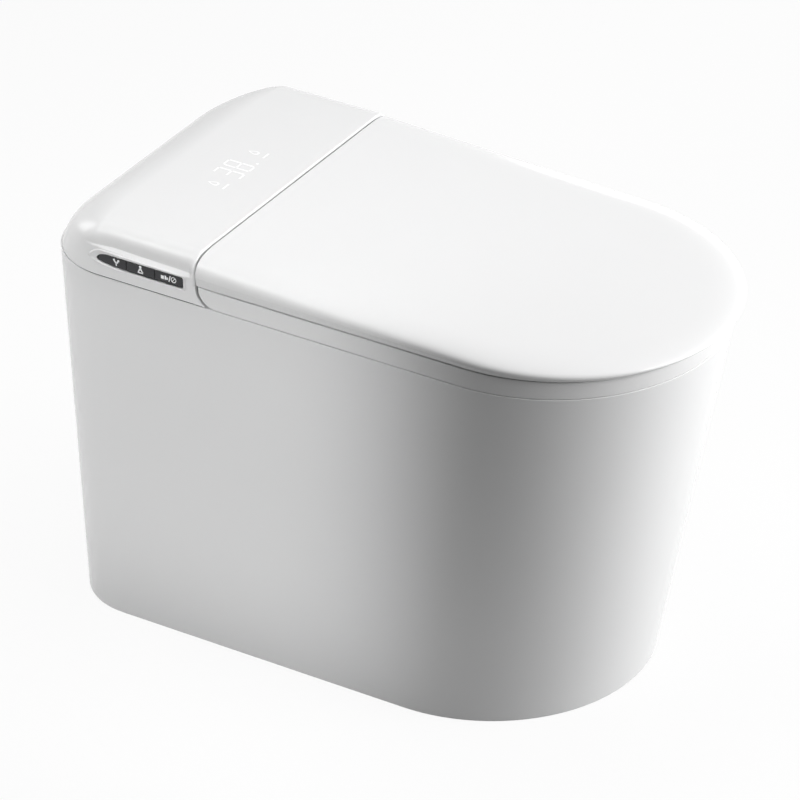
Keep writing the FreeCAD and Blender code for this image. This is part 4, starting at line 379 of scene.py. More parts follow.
def underside(y):
    """The height of the seat's underside: level, then up along the heel's circle."""
    behind = np.clip(y - (SEAT["rear"] - HEEL), 0, HEEL - HEEL_END)
    return SEAT["low"] + HEEL - np.sqrt(HEEL ** 2 - behind ** 2)


def seat_row(inset, height_share):
    """A row of the seat's outside: the plan leaning out to the front, at a share of the height above the
    heel's curve."""
    front = SEAT["low_front"] + (SEAT["top_front"] - SEAT["low_front"]) * height_share
    x, y = o_curve(SEAT["half"] - inset, front + inset, SEAT["rear"], SEAT["corner"])
    low = underside(y)
    return at_height(x, y, low + (SEAT["top"] - low) * np.atleast_1d(height_share)[:, None])


seat_x, seat_y = o_curve(SEAT["half"], SEAT["top_front"], SEAT["rear"], SEAT["corner"])
hole_heading = np.arctan2(seat_y - SEAT_HOLE["middle"], seat_x)


def hole_rows(more, z):
    """Rows of the hole: one oval, opened by a margin, at a height."""
    more = np.atleast_1d(np.asarray(more, float))
    x, y = oval(SEAT_HOLE["width"] + more, SEAT_HOLE["length"] + more, SEAT_HOLE["middle"], hole_heading)
    return at_height(x, y, z + 0 * more)


seat_height = SEAT["top"] - SEAT["low"]
side_top = 1 - SHADOW_GAP / seat_height
side_up = np.linspace(0, side_top - SEAT_EDGE / seat_height, 10)
seat_side = seat_row(0 * side_up, side_up)
seat_round = seat_row(SEAT_EDGE * (1 - np.cos(quarter)),
                      side_top - SEAT_EDGE * (1 - np.sin(quarter)) / seat_height)
seat_step = seat_row(np.array([SHADOW_INSET, SHADOW_INSET]), np.array([side_top, 1.0]))
seat_flat = seat_row(np.array([SHADOW_INSET + CUFF]), np.array([1.0]))
hole_round = hole_rows(HOLE_EDGE * (1 - np.sin(quarter)), SEAT["top"] - HOLE_EDGE * (1 - np.cos(quarter)))
hole_start = hole_rows(HOLE_EDGE + CUFF, SEAT["top"])
hole_foot = hole_rows(0.0, SEAT["low"])
seat_under = between(hole_foot, seat_side[:1], 48)
seat_under[..., 2] = underside(seat_under[..., 1])
seat_rows = np.concatenate([
    hole_foot, seat_under, seat_side, seat_round, seat_step, seat_flat,
    between(seat_flat, hole_start, 6), hole_start, hole_round,
    between(hole_round[-1:], hole_foot, 2), hole_foot])
seat = make_piece("seat_ring", sheet_of(seat_rows))
carve(seat, block("bay", *BAY))
ears = make_piece("seat_ears", *[ear(SEAT_EAR_X, EAR_WIDTH, SEAT_EAR_REACH, side) for side in (1, -1)])
dress(seat, "seat", "white_gloss", "seat_top", "seat_base")
dress(ears, "seat", "white_gloss")

# %% [markdown]
# ## The lid
# The lid is a thin wedge that falls towards the front. Its side turns over in a long roll, as wide as a thumb
# and only as high as the wedge is there, so it is deep at the rear and almost flat at the nose. The roll is
# fuller than an ellipse: sine and cosine, each to a power below one, push the curve out into its corner.
# Under the widest line a narrow facet leans back to the seat. Outer and inner skins are two grids over the
# open U, drawn together at the middle of the rear edge, and make one thick shell.

# %% The lid shell
LID = dict(rear=139.5, low=410.8, edge_half=176.9, edge_front=-333.5, half=179.2, front=-335.5,
           crease_rear=420.5, crease_front=413.0, top_rear=440.6, top_front=418.2, roll=38.0, wall=3.0,
           inner_half=175.8, inner_front=-329.5, inner_roll=0.9, inner_foot=0.15)
ROLL_FULLNESS = 0.755
LID_EAR_X, LID_EAR_REACH = 140.0, 6.1


def tilt(rear_height, front_height, y):
    """The height of a plane that falls evenly from the lid's rear edge to its front."""
    share = (y - LID["front"]) / (LID["rear"] - LID["front"])
    return front_height + (rear_height - front_height) * share


def lid_skin(edge_half, edge_front, half, front, roll, less, foot):
    """A skin of the lid: from the lower edge out to the widest line, over the roll and the flat top."""
    lean = np.linspace(0, 1, 5)[:-1]
    x, y = u_curve(edge_half + (half - edge_half) * lean, edge_front + (front - edge_front) * lean,
                   LID["rear"])
    crease = tilt(LID["crease_rear"], LID["crease_front"], y)
    lift = tilt(LID["top_rear"], LID["top_front"], y) - less - crease
    facet = at_height(x, y, LID["low"] + (crease + foot * lift - LID["low"]) * lean[:, None])
    turn = np.linspace(0, np.pi / 2, 49)
    inset = roll * (1 - np.maximum(np.cos(turn), 0) ** ROLL_FULLNESS)
    x, y = u_curve(half - inset, front + inset, LID["rear"])
    crease = tilt(LID["crease_rear"], LID["crease_front"], y)
    lift = tilt(LID["top_rear"], LID["top_front"], y) - less - crease
    rolled = at_height(x, y, crease + lift * (foot + (1 - foot) * np.sin(turn) ** ROLL_FULLNESS)[:, None])
    shrink = np.linspace(1, 0, 25)[1:, None, None]
    middle = np.array([0.0, LID["rear"], LID["top_rear"] - less])
    flat = middle + (rolled[-1:] - middle) * shrink
    return np.concatenate([facet, rolled, flat])


lid_outer = lid_skin(LID["edge_half"], LID["edge_front"], LID["half"], LID["front"], LID["roll"], 0.0, 0.0)
lid_inner = lid_skin(LID["inner_half"], LID["edge_front"] + LID["wall"], LID["inner_half"],
                     LID["inner_front"], LID["inner_roll"] * LID["roll"], LID["wall"], LID["inner_foot"])
lid = make_piece("lid_skin", shell_of(lid_outer, lid_inner, False))
lid_ears = make_piece("lid_ears", *[ear(LID_EAR_X, EAR_WIDTH, LID_EAR_REACH, side) for side in (1, -1)])
dress(lid, "lid", "white_gloss", "lid_shell", sharp=9)
dress(lid_ears, "lid", "white_gloss")

# %% [markdown]
# ## The rear cover
# The housing behind the lid is moulded plastic. Level slices of it are rounded oblongs: they keep their full
# width for a while, then draw in with the side's small roll and the rear's large one. Stacking such slices
# gives both rolls and lets them melt into each other at the corners. Above the keys the left side is drawn in
# over a soft ledge. The shell is then carved for the key window, the wand and the two connections. A dark
# strip below it is painted shade: it stands in for the shadow in the gap and draws the dark line to the
# china.

# %% The rear cover shell
COVER = dict(low=390.5, top=441.5, half=177.4, front=141.6, rear=335.5, wall=3.0, side_roll=18.0,
             rear_roll=75.0)
CORNER_HEART = (95.4, 253.5)
FRONT_ROUND = 2.4
FRONT_STEPS = 60
# Insets and heights of the dark strip that paints the shade in the seam between the housing and the china.
SEAM_SHADE_INSETS = (2.3, 2.9)
SEAM_SHADE_FOOT, SEAM_SHADE_TOP = 388.05, 390.45
KEY_LOW, KEY_HIGH, KEY_MID = 403.5, 415.1, 408.9
KEY_FRONT, KEY_REAR = 154.8, 253.4
KEY_BENDS = (218.0, 240.0)
FOLD_DEPTH, FOLD_SOFT = 3.4, 2.6
FOLD_FOOT = (417.2, 420.6)
FOLD_FRONT, FOLD_REAR, FOLD_SIDE = (143.5, 149.5), (234.0, 272.0), (60.0, 120.0)
TOE_GAP = 1.4
KEY_CORNER = 2.2
KEY_FACE, KEY_BACK = -176.6, -169.6
KEY_EDGE = 0.5
WINDOW_GAP = 0.35
WINDOW_OUT, WINDOW_IN = -180.0, -171.0
WAND_GAP = ((-25, 138, 385), (25, 146, 405))
INLET_HOLE = (16.0, (66, 290, 403), (66, 345, 403))
GLAND_HOLE = (8.0, (-100, 290, 403), (-100, 345, 403))


def ease(value, start, end):
    """A smooth step from zero at the start to one at the end."""
    share = np.clip((value - start) / (end - start), 0, 1)
    return share * share * (3 - 2 * share)


def folded(skin):
    """A skin whose left side is drawn in above the keys: over a soft ledge that climbs to the rear, then less
    and less up the roll, and fading at the front edge and round the rear corner."""
    x, y, z = np.moveaxis(skin, -1, 0)
    foot = np.interp(y, (KEY_FRONT, KEY_REAR), FOLD_FOOT)
    draw = ease(z, foot, foot + FOLD_SOFT) * (1 - ease(z, foot + FOLD_SOFT, COVER["top"]))
    draw = draw * ease(y, *FOLD_FRONT) * (1 - ease(y, *FOLD_REAR)) * ease(-x, *FOLD_SIDE)
    return np.stack([x + FOLD_DEPTH * draw, y, z], axis=-1)


def cover_skin(less):
    """A skin of the cover, drawn in by a wall: level slices from the lower edge over the rolls to the top."""
    top = COVER["top"] - less
    roll = COVER["side_roll"] - less
    turn = np.linspace(0, np.pi / 2, 56)
    straight = np.linspace(COVER["low"], COVER["top"] - COVER["side_roll"], 44)[:-1]
    z = np.concatenate([straight, COVER["top"] - COVER["side_roll"] + roll * np.sin(turn)])
    half = COVER["half"] - COVER["side_roll"] + roll * np.concatenate([np.ones_like(straight), np.cos(turn)])
    heart = COVER["top"] - COVER["rear_roll"]
    reach = COVER["rear_roll"] - less
    rear = COVER["rear"] - COVER["rear_roll"] + np.sqrt(np.maximum(reach ** 2 - (z - heart) ** 2, 0))
    lip = np.clip(z - (top - FRONT_ROUND), 0, FRONT_ROUND)
    front = COVER["front"] + less + FRONT_ROUND - np.sqrt(FRONT_ROUND ** 2 - lip ** 2)
    half, front, rear, z = as_rows(half, front, rear, z)
    bend = corner_turn[None, :]
    wide, deep = half - CORNER_HEART[0], rear - CORNER_HEART[1]
    along = np.linspace(0, 1, SIDE_STEPS)[None, 1:-1]
    side = front + FRONT_ROUND + (CORNER_HEART[1] - front - FRONT_ROUND) * along
    across = np.linspace(-1, 1, FRONT_STEPS)[None, 1:-1] * (half - FRONT_ROUND)
    behind = np.linspace(1, -1, REAR_STEPS)[None, 1:-1] * CORNER_HEART[0]
    x = np.concatenate([
        across, half - FRONT_ROUND + FRONT_ROUND * np.sin(bend), half + 0 * side,
        CORNER_HEART[0] + wide * np.cos(bend), behind + 0 * half, -CORNER_HEART[0] - wide * np.sin(bend),
        -half + 0 * side, FRONT_ROUND - half - FRONT_ROUND * np.cos(bend)], axis=1)
    y = np.concatenate([
        front + 0 * across, front + FRONT_ROUND * (1 - np.cos(bend)), side,
        CORNER_HEART[1] + deep * np.sin(bend), rear + 0 * behind, CORNER_HEART[1] + deep * np.cos(bend),
        side[:, ::-1], front + FRONT_ROUND * (1 - np.sin(bend))], axis=1)
    skin = folded(at_height(x, y, z))
    middle = np.array([0.0, 0.5 * (COVER["front"] + CORNER_HEART[1]), top])
    shrink = np.linspace(1, 0, 13)[1:, None, None]
    return np.concatenate([skin, middle + (skin[-1:] - middle) * shrink])


def toe(side):
    """A toe of the cover under the seat's heel: a plate from the front wall to a circle round the heel."""
    heart_y, heart_z = SEAT["rear"] - HEEL, SEAT["low"] + HEEL
    reach = HEEL + TOE_GAP
    turn = np.linspace(0, math.asin((heart_z - COVER["low"]) / reach), 24)
    curve_y, curve_z = heart_y + reach * np.cos(turn), heart_z - reach * np.sin(turn)
    wall_y = np.full_like(turn, COVER["front"] + FRONT_ROUND)
    outside, inside = side * COVER["half"], side * (COVER["half"] - COVER["wall"])
    rows = [np.c_[np.full_like(turn, x), y, curve_z] for x, y in
            ((outside, curve_y), (outside, wall_y), (inside, wall_y), (inside, curve_y), (outside, curve_y))]
    return join(sheet_of(np.stack(rows), False), *end_caps(rows))


def end_caps(rows):
    """The two small faces that close a bar of four long rows."""
    points = np.stack([np.stack([row[0] for row in rows[:4]]), np.stack([row[-1] for row in rows[:4]])])
    return [(cap, np.array([[0, 1, 2, 3]])) for cap in points]


cover = make_piece("rear_housing", shell_of(cover_skin(0.0), cover_skin(COVER["wall"]), True))


def key_outline(front, rear, more, steps=48):
    """The outline of a stretch of the key strip seen from the side, wider by a margin. Its lower and upper
    edges are straight up to a bend and then quarter ellipses that meet in the point; its front corners are
    round."""
    share = 0.5 - 0.5 * np.cos(np.linspace(0, np.pi, steps))
    y = front - more + (rear - front + 2 * more) * share
    corner = np.clip(KEY_FRONT - more + KEY_CORNER - y, 0, KEY_CORNER)
    cut = KEY_CORNER - np.sqrt(KEY_CORNER ** 2 - corner ** 2)
    edges = []
    for bend, level in zip(KEY_BENDS, (KEY_LOW - more, KEY_HIGH + more)):
        past = np.clip((y - bend) / (KEY_REAR + more - bend), 0, 1)
        edges.append(KEY_MID + (level - KEY_MID) * (np.sqrt(1 - past ** 2) - cut / abs(level - KEY_MID)))
    return np.concatenate([np.c_[y, edges[0]], np.c_[y, edges[1]][::-1]])


def beside(x, outline):
    """An outline seen from the side, at a distance from the middle."""
    return np.c_[np.full(len(outline), x), outline]


strip = key_outline(KEY_FRONT, KEY_REAR, WINDOW_GAP)
carve(cover,
      make_piece("window", drum(beside(WINDOW_OUT, strip), beside(WINDOW_IN, strip))),
      block("wand_gap", *WAND_GAP),
      rod("inlet_hole", *INLET_HOLE),
      rod("gland_hole", *GLAND_HOLE))
dress(cover, "toilet", "white_gloss", "rear_cover", sharp=16)
toes = make_piece("cover_toes", toe(1), toe(-1))
dress(toes, "toilet", "white_gloss")

# A dark strip set into the gap under the housing: painted shade, in place of the shadow that falls in that
# seam.
seam_shade_lines = [cover_skin(inset)[0, FRONT_STEPS - 2:] for inset in SEAM_SHADE_INSETS]
seam_shade_rows = [np.c_[line[:, :2], np.full(len(line), z)] for line, z in
             zip((seam_shade_lines[0], seam_shade_lines[0], seam_shade_lines[1], seam_shade_lines[1], seam_shade_lines[0]),
                 (SEAM_SHADE_FOOT, SEAM_SHADE_TOP, SEAM_SHADE_TOP, SEAM_SHADE_FOOT, SEAM_SHADE_FOOT))]
seam_shade_strip = make_piece("cover_seam_shade", join(sheet_of(np.stack(seam_shade_rows), False), *end_caps(seam_shade_rows)))
dress(seam_shade_strip, "toilet", "dark_plastic")

# %% [markdown]
# ## The key strip
# Three black keys lie side by side in one window that runs out into a leaf's point. The housing swells round
# them into a thin brow: it rises from the side wall to a crest and falls to the window's edge. The wall above
# stands further in, so there the brow's upper face is a ledge that meets the light. The brow is one section
# carried round three outlines, and each key is the strip's outline over its own stretch, with a small round
# at the face.

# %% The brow and the keys
BROW_FOOT, BROW_CREST, BROW_EDGE, BROW_DEEP = -173.4, -178.4, -177.2, -172.6
upper = np.split(strip, 2)[1]
swell = np.clip((upper[:, 0] - KEY_FRONT) / (KEY_BENDS[1] - KEY_FRONT), 0, 1)


def round_the_keys(front, rear, below, above_front, above_rear):
    """An outline round the strip: stretched past its ends, set off below and, growing to the rear, above."""
    stretch = (KEY_REAR + rear - KEY_FRONT + front) / (KEY_REAR - KEY_FRONT)
    y = KEY_FRONT - front + (strip[:, 0] - KEY_FRONT) * stretch
    fade = 1 - np.clip((y - KEY_BENDS[1]) / (KEY_REAR + rear - KEY_BENDS[1]), 0, 1) ** 3
    away = np.concatenate([0 * swell - below, above_front + (above_rear - above_front) * swell])
    return np.c_[y, strip[:, 1] + away * fade]


foot_line = round_the_keys(front=9.0, rear=14.0, below=2.4, above_front=6.2, above_rear=8.6)
crest_line = round_the_keys(front=2.2, rear=7.5, below=0.7, above_front=1.7, above_rear=3.2)
brow_rows = np.stack([beside(BROW_FOOT, foot_line), beside(BROW_CREST, crest_line), beside(BROW_EDGE, strip),
                      beside(BROW_DEEP, strip), beside(BROW_DEEP, foot_line), beside(BROW_FOOT, foot_line)])
brow = make_piece("key_brow", sheet_of(brow_rows))
dress(brow, "toilet", "white_gloss")
key_ends = {"flush": (KEY_FRONT, 187.2), "front_wash": (187.7, 219.9), "rear_wash": (220.4, KEY_REAR)}
keys = []
for name, (front, rear) in key_ends.items():
    turn = np.linspace(0, np.pi / 2, 7)
    face = [beside(KEY_FACE + KEY_EDGE * (1 - math.sin(t)),
                   key_outline(front, rear, -KEY_EDGE * (1 - math.cos(t)))) for t in turn[::-1]]
    rows = face + [beside(KEY_BACK, key_outline(front, rear, 0.0))]
    rows = [np.broadcast_to(rows[0].mean(0), rows[0].shape)] + rows
    rows.append(np.broadcast_to(rows[-1].mean(0), rows[0].shape))
    key = make_piece(name + "_cap", sheet_of(np.stack(rows)))
    keys.append(dress(key, name + "_key", "black_gloss", name + "_button"))

# %% [markdown]
# ## Signs on the keys and the hidden display
# The three keys carry small white signs, and digits of the water's warmth shine faintly through the housing's
# top. Each sign is a thin plate: flat bars and rings, so it needs only a few faces. They lie a hair above
# their carrier, so they never flicker against it.

# %% Signs
SIGN = 0.04


def bar(start, end, width):
    """The outline of a straight bar with cut ends, in the plane of a sign."""
    start, end = np.array(start, float), np.array(end, float)
    along = (end - start) / np.linalg.norm(end - start)
    side = 0.5 * width * np.array([-along[1], along[0]])
    return np.stack([start - side, end - side, end + side, start + side])


def dot(middle, radius, steps=20):
    """The outline of a round dot."""
    turn = np.linspace(0, 2 * np.pi, steps, endpoint=False)
    return np.c_[middle[0] + radius * np.cos(turn), middle[1] + radius * np.sin(turn)]


def ring(middle, radius, width, steps=28):
    """A round band as a row of cells between two circles."""
    turn = np.linspace(0, 2 * np.pi, steps)
    reach = np.array([radius - width / 2, radius + width / 2])[:, None]
    return np.stack([middle[0] + reach * np.cos(turn), middle[1] + reach * np.sin(turn)], -1)


def on_key(flat, depth):
    """Sign points, right and up in millimetres, on the keys' faces, which look towards -X."""
    return np.concatenate([np.full(flat.shape[:-1] + (1,), depth), -flat[..., :1], flat[..., 1:]], -1)


def on_top(flat, depth):
    """Sign points, right and up in millimetres, on the housing's top."""
    return np.concatenate([flat, np.full(flat.shape[:-1] + (1,), depth)], -1)


def plates(carrier, low, high, outlines, bands):
    """Closed thin plates from outlines and bands, laid on a carrier between two depths."""
    made = [drum(carrier(line, low), carrier(line, high)) for line in outlines]
    for band in bands:
        rows = [carrier(band[0], low), carrier(band[1], low), carrier(band[1], high), carrier(band[0], high),
                carrier(band[0], low)]
        made.append(join(sheet_of(np.stack(rows), False), *end_caps(rows)))
    return made


def shift(flat, right, up):
    """Sign points moved in their plane."""
    return flat + np.array([right, up])


key_places = {"rear_wash": (-231.5, 409.3), "front_wash": (-203.8, 409.2), "flush": (-171.2, 409.2)}
spray = ([bar((-2.4, 2.0), (0.2, -1.6), 1.5), bar((2.4, 2.0), (-0.2, -1.6), 1.5),
          bar((0, -0.8), (0, -3.6), 1.3), dot((-2.5, 2.3), 1.2), dot((2.5, 2.3), 1.2)], [])
figure = ([dot((0, 3.1), 1.5), bar((-0.5, 1.4), (-2.6, -3.3), 1.3), bar((0.5, 1.4), (2.6, -3.3), 1.3),
           bar((-3.1, -3.3), (3.1, -3.3), 1.2), bar((0, 1.8), (0, -0.6), 1.3)], [])
flush = ([bar((-7.4, 1.7), (-7.4, -2.1), 3.4), bar((-4.0, 2.3), (-4.0, -2.1), 1.7),
          bar((-2.0, -1.8), (-2.0, 0.9), 1.7), bar((0.0, -3.2), (1.5, 3.2), 1.0),
          bar((3.9, -1.7), (6.7, 1.7), 0.8)], [ring((5.3, 0), 2.7, 0.8)])
signs = []
for name, (outlines, bands) in {"rear_wash": spray, "front_wash": figure, "flush": flush}.items():
    right, up = key_places[name]
    moved = [[shift(flat, right, up) for flat in group] for group in (outlines, bands)]
    sign = make_piece(name + "_sign", *plates(on_key, KEY_FACE - SIGN, KEY_FACE + SIGN, *moved))
    signs.append(dress(sign, name + "_key", "white_gloss"))

TOP = COVER["top"]
SEGMENT, SEGMENT_CUT = 2.3, 0.35
DIGIT = (10.8, 29.6)
GLOW_DEEP, GLOW_RISE = 0.5, 0.005
LINE_Y = 191.4
DROP_Y, DROP_SIZE, DROP_BAND = 205.6, 6.6, 2.4
DROP_WIDTH, DROP_POWER = 0.75, 1.5
digit_bars = {
    "top": ((0, 1), (1, 1)), "upper_left": ((0, 0.5), (0, 1)), "upper_right": ((1, 0.5), (1, 1)),
    "middle": ((0, 0.5), (1, 0.5)), "lower_left": ((0, 0), (0, 0.5)), "lower_right": ((1, 0), (1, 0.5)),
    "bottom": ((0, 0), (1, 0)),
}
three = ("top", "upper_right", "middle", "lower_right", "bottom")


def digit(names, right, up):
    """The bars of one digit, each cut a little short at its ends, with its lower left corner at a place."""
    corner = np.array([right, up])
    ends = [np.array(digit_bars[name]) * np.array(DIGIT) for name in names]
    short = [SEGMENT_CUT * SEGMENT * (end[1] - end[0]) / np.linalg.norm(end[1] - end[0]) for end in ends]
    return [bar(corner + end[0] + cut, corner + end[1] - cut, SEGMENT) for end, cut in zip(ends, short)]


def drop(middle, size, width):
    """A drop's outline as a band, tip up: sideways sine times a power of the half angle's sine, and cosine
    upwards."""
    turn = np.linspace(0, 2 * np.pi, 40)
    curve = np.stack([DROP_WIDTH * np.sin(turn) * np.sin(turn / 2) ** DROP_POWER, np.cos(turn)], -1)
    return np.array(middle) + np.stack([curve * (size - width), curve * size])


glow_bars = digit(three, -24.0, 188.7) + digit(tuple(digit_bars), -5.9, 188.5) + [dot((11.9, 189.9), 1.5)]
glow_bands = []
for left, right in ((-49.0, -37.6), (24.6, 35.2)):
    glow_bars.append(bar((left, LINE_Y), (right, LINE_Y), SEGMENT))
    glow_bands.append(drop((0.5 * (left + right), DROP_Y), DROP_SIZE, DROP_BAND))
glow_plates = plates(on_top, TOP - GLOW_DEEP, TOP + GLOW_RISE, glow_bars, glow_bands)
glow = make_piece("display_signs", *glow_plates)
signs.append(dress(glow, "toilet", "white_gloss"))

# %% [markdown]
# ## Finishes
# A finish is a small network of shader nodes. Writing it as sums and products keeps it readable, so one class
# wraps a socket and lets Python's operators add Math nodes, and one method makes every other node.

# %% A socket that can be reckoned with


class Wire:
    """A socket of a finish; arithmetic on it adds Math nodes."""

    def __init__(self, finish, socket):
        self.finish = finish
        self.socket = socket

    def math(self, operation, *others):
        values = {index: other for index, other in enumerate((self,) + others)}
        return self.finish.node("ShaderNodeMath", values, operation=operation)

    def __add__(self, other):
        return self.math("ADD", other)

    def __mul__(self, other):
        return self.math("MULTIPLY", other)

    __radd__ = __add__
    __rmul__ = __mul__


class Finish:
    """A material with one principled shader; fixed values go straight on the shader's sockets."""

    def __init__(self, name, **fixed):
        self.material = bpy.data.materials.new(name)
        self.material.use_nodes = True
        self.tree = self.material.node_tree
        self.shader = self.tree.nodes["Principled BSDF"]
        for socket, value in fixed.items():
            self.shader.inputs[socket.replace("_", " ")].default_value = value

    def node(self, kind, values, output=0, **settings):
        """A node of any kind: its settings first, then values or links for its sockets."""
        made = self.tree.nodes.new(kind)
        for setting, value in settings.items():
            setattr(made, setting, value)
        for socket, value in values.items():
            if isinstance(value, Wire):
                self.tree.links.new(value.socket, made.inputs[socket])
            else:
                made.inputs[socket].default_value = value
        return Wire(self, made.outputs[output])

    def feed(self, socket, wire):
        """Links a wire to a socket of the shader."""
        self.tree.links.new(wire.socket, self.shader.inputs[socket])

    def place(self):
        """The piece's own coordinates, in metres."""
        return self.node("ShaderNodeTexCoord", {}, output=3)

    def noise(self, scale, detail=2.0):
        """Soft noise over the piece, from 0 to 1."""
        return self.node("ShaderNodeTexNoise", {"Vector": self.place(), "Scale": scale, "Detail": detail})

    def tint(self, first, second, share):
        """A colour between two, by a share."""
        values = {0: share, 6: (*first, 1.0), 7: (*second, 1.0)}
        return self.node("ShaderNodeMix", values, output=2, data_type="RGBA")

    def bump(self, height, strength, distance):
        """A bump from a height, straight into the shader's normal."""
        wire = self.node("ShaderNodeBump", {"Height": height, "Strength": strength, "Distance": distance})
        self.feed("Normal", wire)


# %% [markdown]
# The whites come first. Glaze is thick clear glass over a white body: very smooth, with a faint
# waviness where it ran in the kiln, and a cool white. Moulded plastic is a little warmer and its gloss is
# broken by a fine polish.

# %% The finishes


def glaze():
    """Fired white glaze: two close whites drifting into each other, a slow wave and a hard gloss."""
    finish = Finish("white_glaze", IOR=1.5, Coat_Roughness=0.04)
    drift = finish.noise(7.0, 3.0)
    finish.feed("Base Color", finish.tint((0.80, 0.803, 0.806), (0.825, 0.826, 0.828), drift))
    finish.feed("Roughness", 0.20 + 0.05 * finish.noise(40.0))
    finish.feed("Coat Weight", 0.12 + 0.06 * drift)
    finish.bump(finish.noise(22.0, 1.0), 0.03, 0.002)
    return finish.material


def gloss(name, first, second, roughness, wave):
    """Moulded gloss plastic: a base colour with a slow drift, and a polish that is a touch uneven."""
    finish = Finish(name, IOR=1.49)
    drift = finish.noise(9.0, 2.0)
    finish.feed("Base Color", finish.tint(first, second, drift))
    finish.feed("Roughness", roughness + 0.04 * finish.noise(60.0))
    finish.bump(finish.noise(30.0, 1.0), wave, 0.001)
    return finish.material


def moulded(name, first, second, roughness):
    """Matt moulded plastic: fine spark grain in colour, roughness and bump."""
    finish = Finish(name)
    grain = finish.noise(900.0, 3.0)
    finish.feed("Base Color", finish.tint(first, second, grain))
    finish.feed("Roughness", roughness + 0.15 * grain)
    finish.bump(grain, 0.15, 0.0003)
    return finish.material


def metal(name, first, second, roughness, stretch):
    """Metal with a drawn or turned grain: noise stretched along one direction."""
    finish = Finish(name, Metallic=1.0)
    along = finish.node("ShaderNodeMapping", {"Vector": finish.place(), "Scale": stretch})
    grain = finish.node("ShaderNodeTexNoise", {"Vector": along, "Scale": 60.0, "Detail": 4.0})
    finish.feed("Base Color", finish.tint(first, second, grain))
    finish.feed("Roughness", roughness + 0.2 * grain)
    finish.bump(grain, 0.1, 0.0002)
    return finish.material


def board():
    """Solder mask: green with pale copper runs under it, laid out as a fine check."""
    finish = Finish("solder_mask", Roughness=0.35)
    check = finish.node("ShaderNodeTexChecker", {"Vector": finish.place(), "Scale": 420.0}, output=1)
    runs = check * finish.noise(120.0)
    finish.feed("Base Color", finish.tint((0.02, 0.16, 0.07), (0.09, 0.33, 0.16), runs))
    return finish.material


def shining():
    """The display's signs: white plastic with a lamp's faint light behind it."""
    finish = Finish("lit_sign", Roughness=0.3, Emission_Strength=0.06)
    finish.feed("Base Color", finish.tint((0.93, 0.93, 0.93), (0.96, 0.96, 0.96), finish.noise(200.0)))
    finish.feed("Emission Color", finish.tint((1.0, 1.0, 1.0), (0.92, 0.96, 1.0), finish.noise(90.0)))
    return finish.material


white_plastic = gloss("white_plastic", (0.835, 0.836, 0.838), (0.85, 0.85, 0.852), 0.14, 0.02)
finishes = {
    "glazed_china": glaze(),
    "white_gloss": white_plastic,
    "white_satin": moulded("white_satin", (0.72, 0.72, 0.72), (0.77, 0.77, 0.77), 0.35),
    "black_gloss": gloss("black_gloss", (0.012, 0.012, 0.014), (0.022, 0.022, 0.025), 0.16, 0.02),
    "grey_plastic": moulded("grey_plastic", (0.46, 0.47, 0.49), (0.53, 0.54, 0.56), 0.40),
    "dark_plastic": moulded("dark_plastic", (0.05, 0.05, 0.055), (0.09, 0.09, 0.095), 0.40),
    "milky_plastic": moulded("milky_plastic", (0.66, 0.69, 0.71), (0.72, 0.75, 0.77), 0.28),
    "soft_rubber": moulded("soft_rubber", (0.42, 0.42, 0.42), (0.50, 0.50, 0.50), 0.62),
    "steel": metal("brushed_steel", (0.56, 0.57, 0.58), (0.68, 0.69, 0.70), 0.22, (1.0, 0.06, 1.0)),
    "brass": metal("turned_brass", (0.66, 0.50, 0.24), (0.78, 0.62, 0.34), 0.20, (1.0, 8.0, 1.0)),
    "foil": metal("heater_foil", (0.70, 0.70, 0.71), (0.80, 0.80, 0.81), 0.25, (1.0, 1.0, 1.0)),
    "circuit_green": board(),
}
print("finishes", sorted(finishes))


def coat(piece, finish):
    """Gives a piece one finish."""
    piece.data.materials.clear()
    piece.data.materials.append(finish)


slot_of = {row["node"]: row["material_slot"] for row in frame["record"]["subparts"]}
for node, piece in frame["nodes"].items():
    coat(piece, finishes[slot_of[node]])
for piece in (china, seat, ears, lid, lid_ears, cover, toes, seam_shade_strip, brow, *keys):
    coat(piece, finishes[piece["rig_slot"]])
lit_sign = shining()
for sign in signs:
    coat(sign, lit_sign)

# %% [markdown]
# ## Floor and world
# The floor is nearly white to the eye and in the gloss, and still takes the object's shadow: a small part of
# it is matt paint under the lamps and the rest a steady white. To light that bounces it is darker, so that it
# doesn't wash out the shaded side. The world does the same: white where it is seen, dim where it lights.

# %% Floor and world
FLOOR, FLOOR_Z = 30.0, -0.0004
FLOOR_WHITE = 0.91
FLOOR_PALE, FLOOR_DARK = (0.9, 0.9, 0.9), (0.2, 0.2, 0.2)
WORLD_DIM, WORLD_SEEN = 0.04, 1.0
WHITE = (1.0, 1.0, 1.0, 1.0)
floor_corners = [(-FLOOR, -FLOOR, FLOOR_Z), (FLOOR, -FLOOR, FLOOR_Z), (FLOOR, FLOOR, FLOOR_Z),
                 (-FLOOR, FLOOR, FLOOR_Z)]
floor_mesh = bpy.data.meshes.new("floor")
floor_mesh.from_pydata(floor_corners, [], [(0, 1, 2, 3)])
floor = bpy.data.objects.new("floor", floor_mesh)
bpy.context.scene.collection.objects.link(floor)
paint = Finish("floor_paint", Roughness=0.9)
path = paint.tree.nodes.new("ShaderNodeLightPath")
seen = sum(Wire(paint, path.outputs[f"Is {ray} Ray"]) for ray in ("Camera", "Glossy", "Transmission"))
bounced = Wire(paint, path.outputs["Is Diffuse Ray"])
paint.feed("Base Color", paint.tint(FLOOR_PALE, FLOOR_DARK, bounced))
steady = paint.node("ShaderNodeEmission", {"Color": WHITE, "Strength": 1.0})
matt = Wire(paint, paint.shader.outputs[0])
blend = paint.node("ShaderNodeMixShader", {0: FLOOR_WHITE * seen, 1: matt, 2: steady})
paint.tree.links.new(blend.socket, paint.tree.nodes["Material Output"].inputs["Surface"])
coat(floor, paint.material)

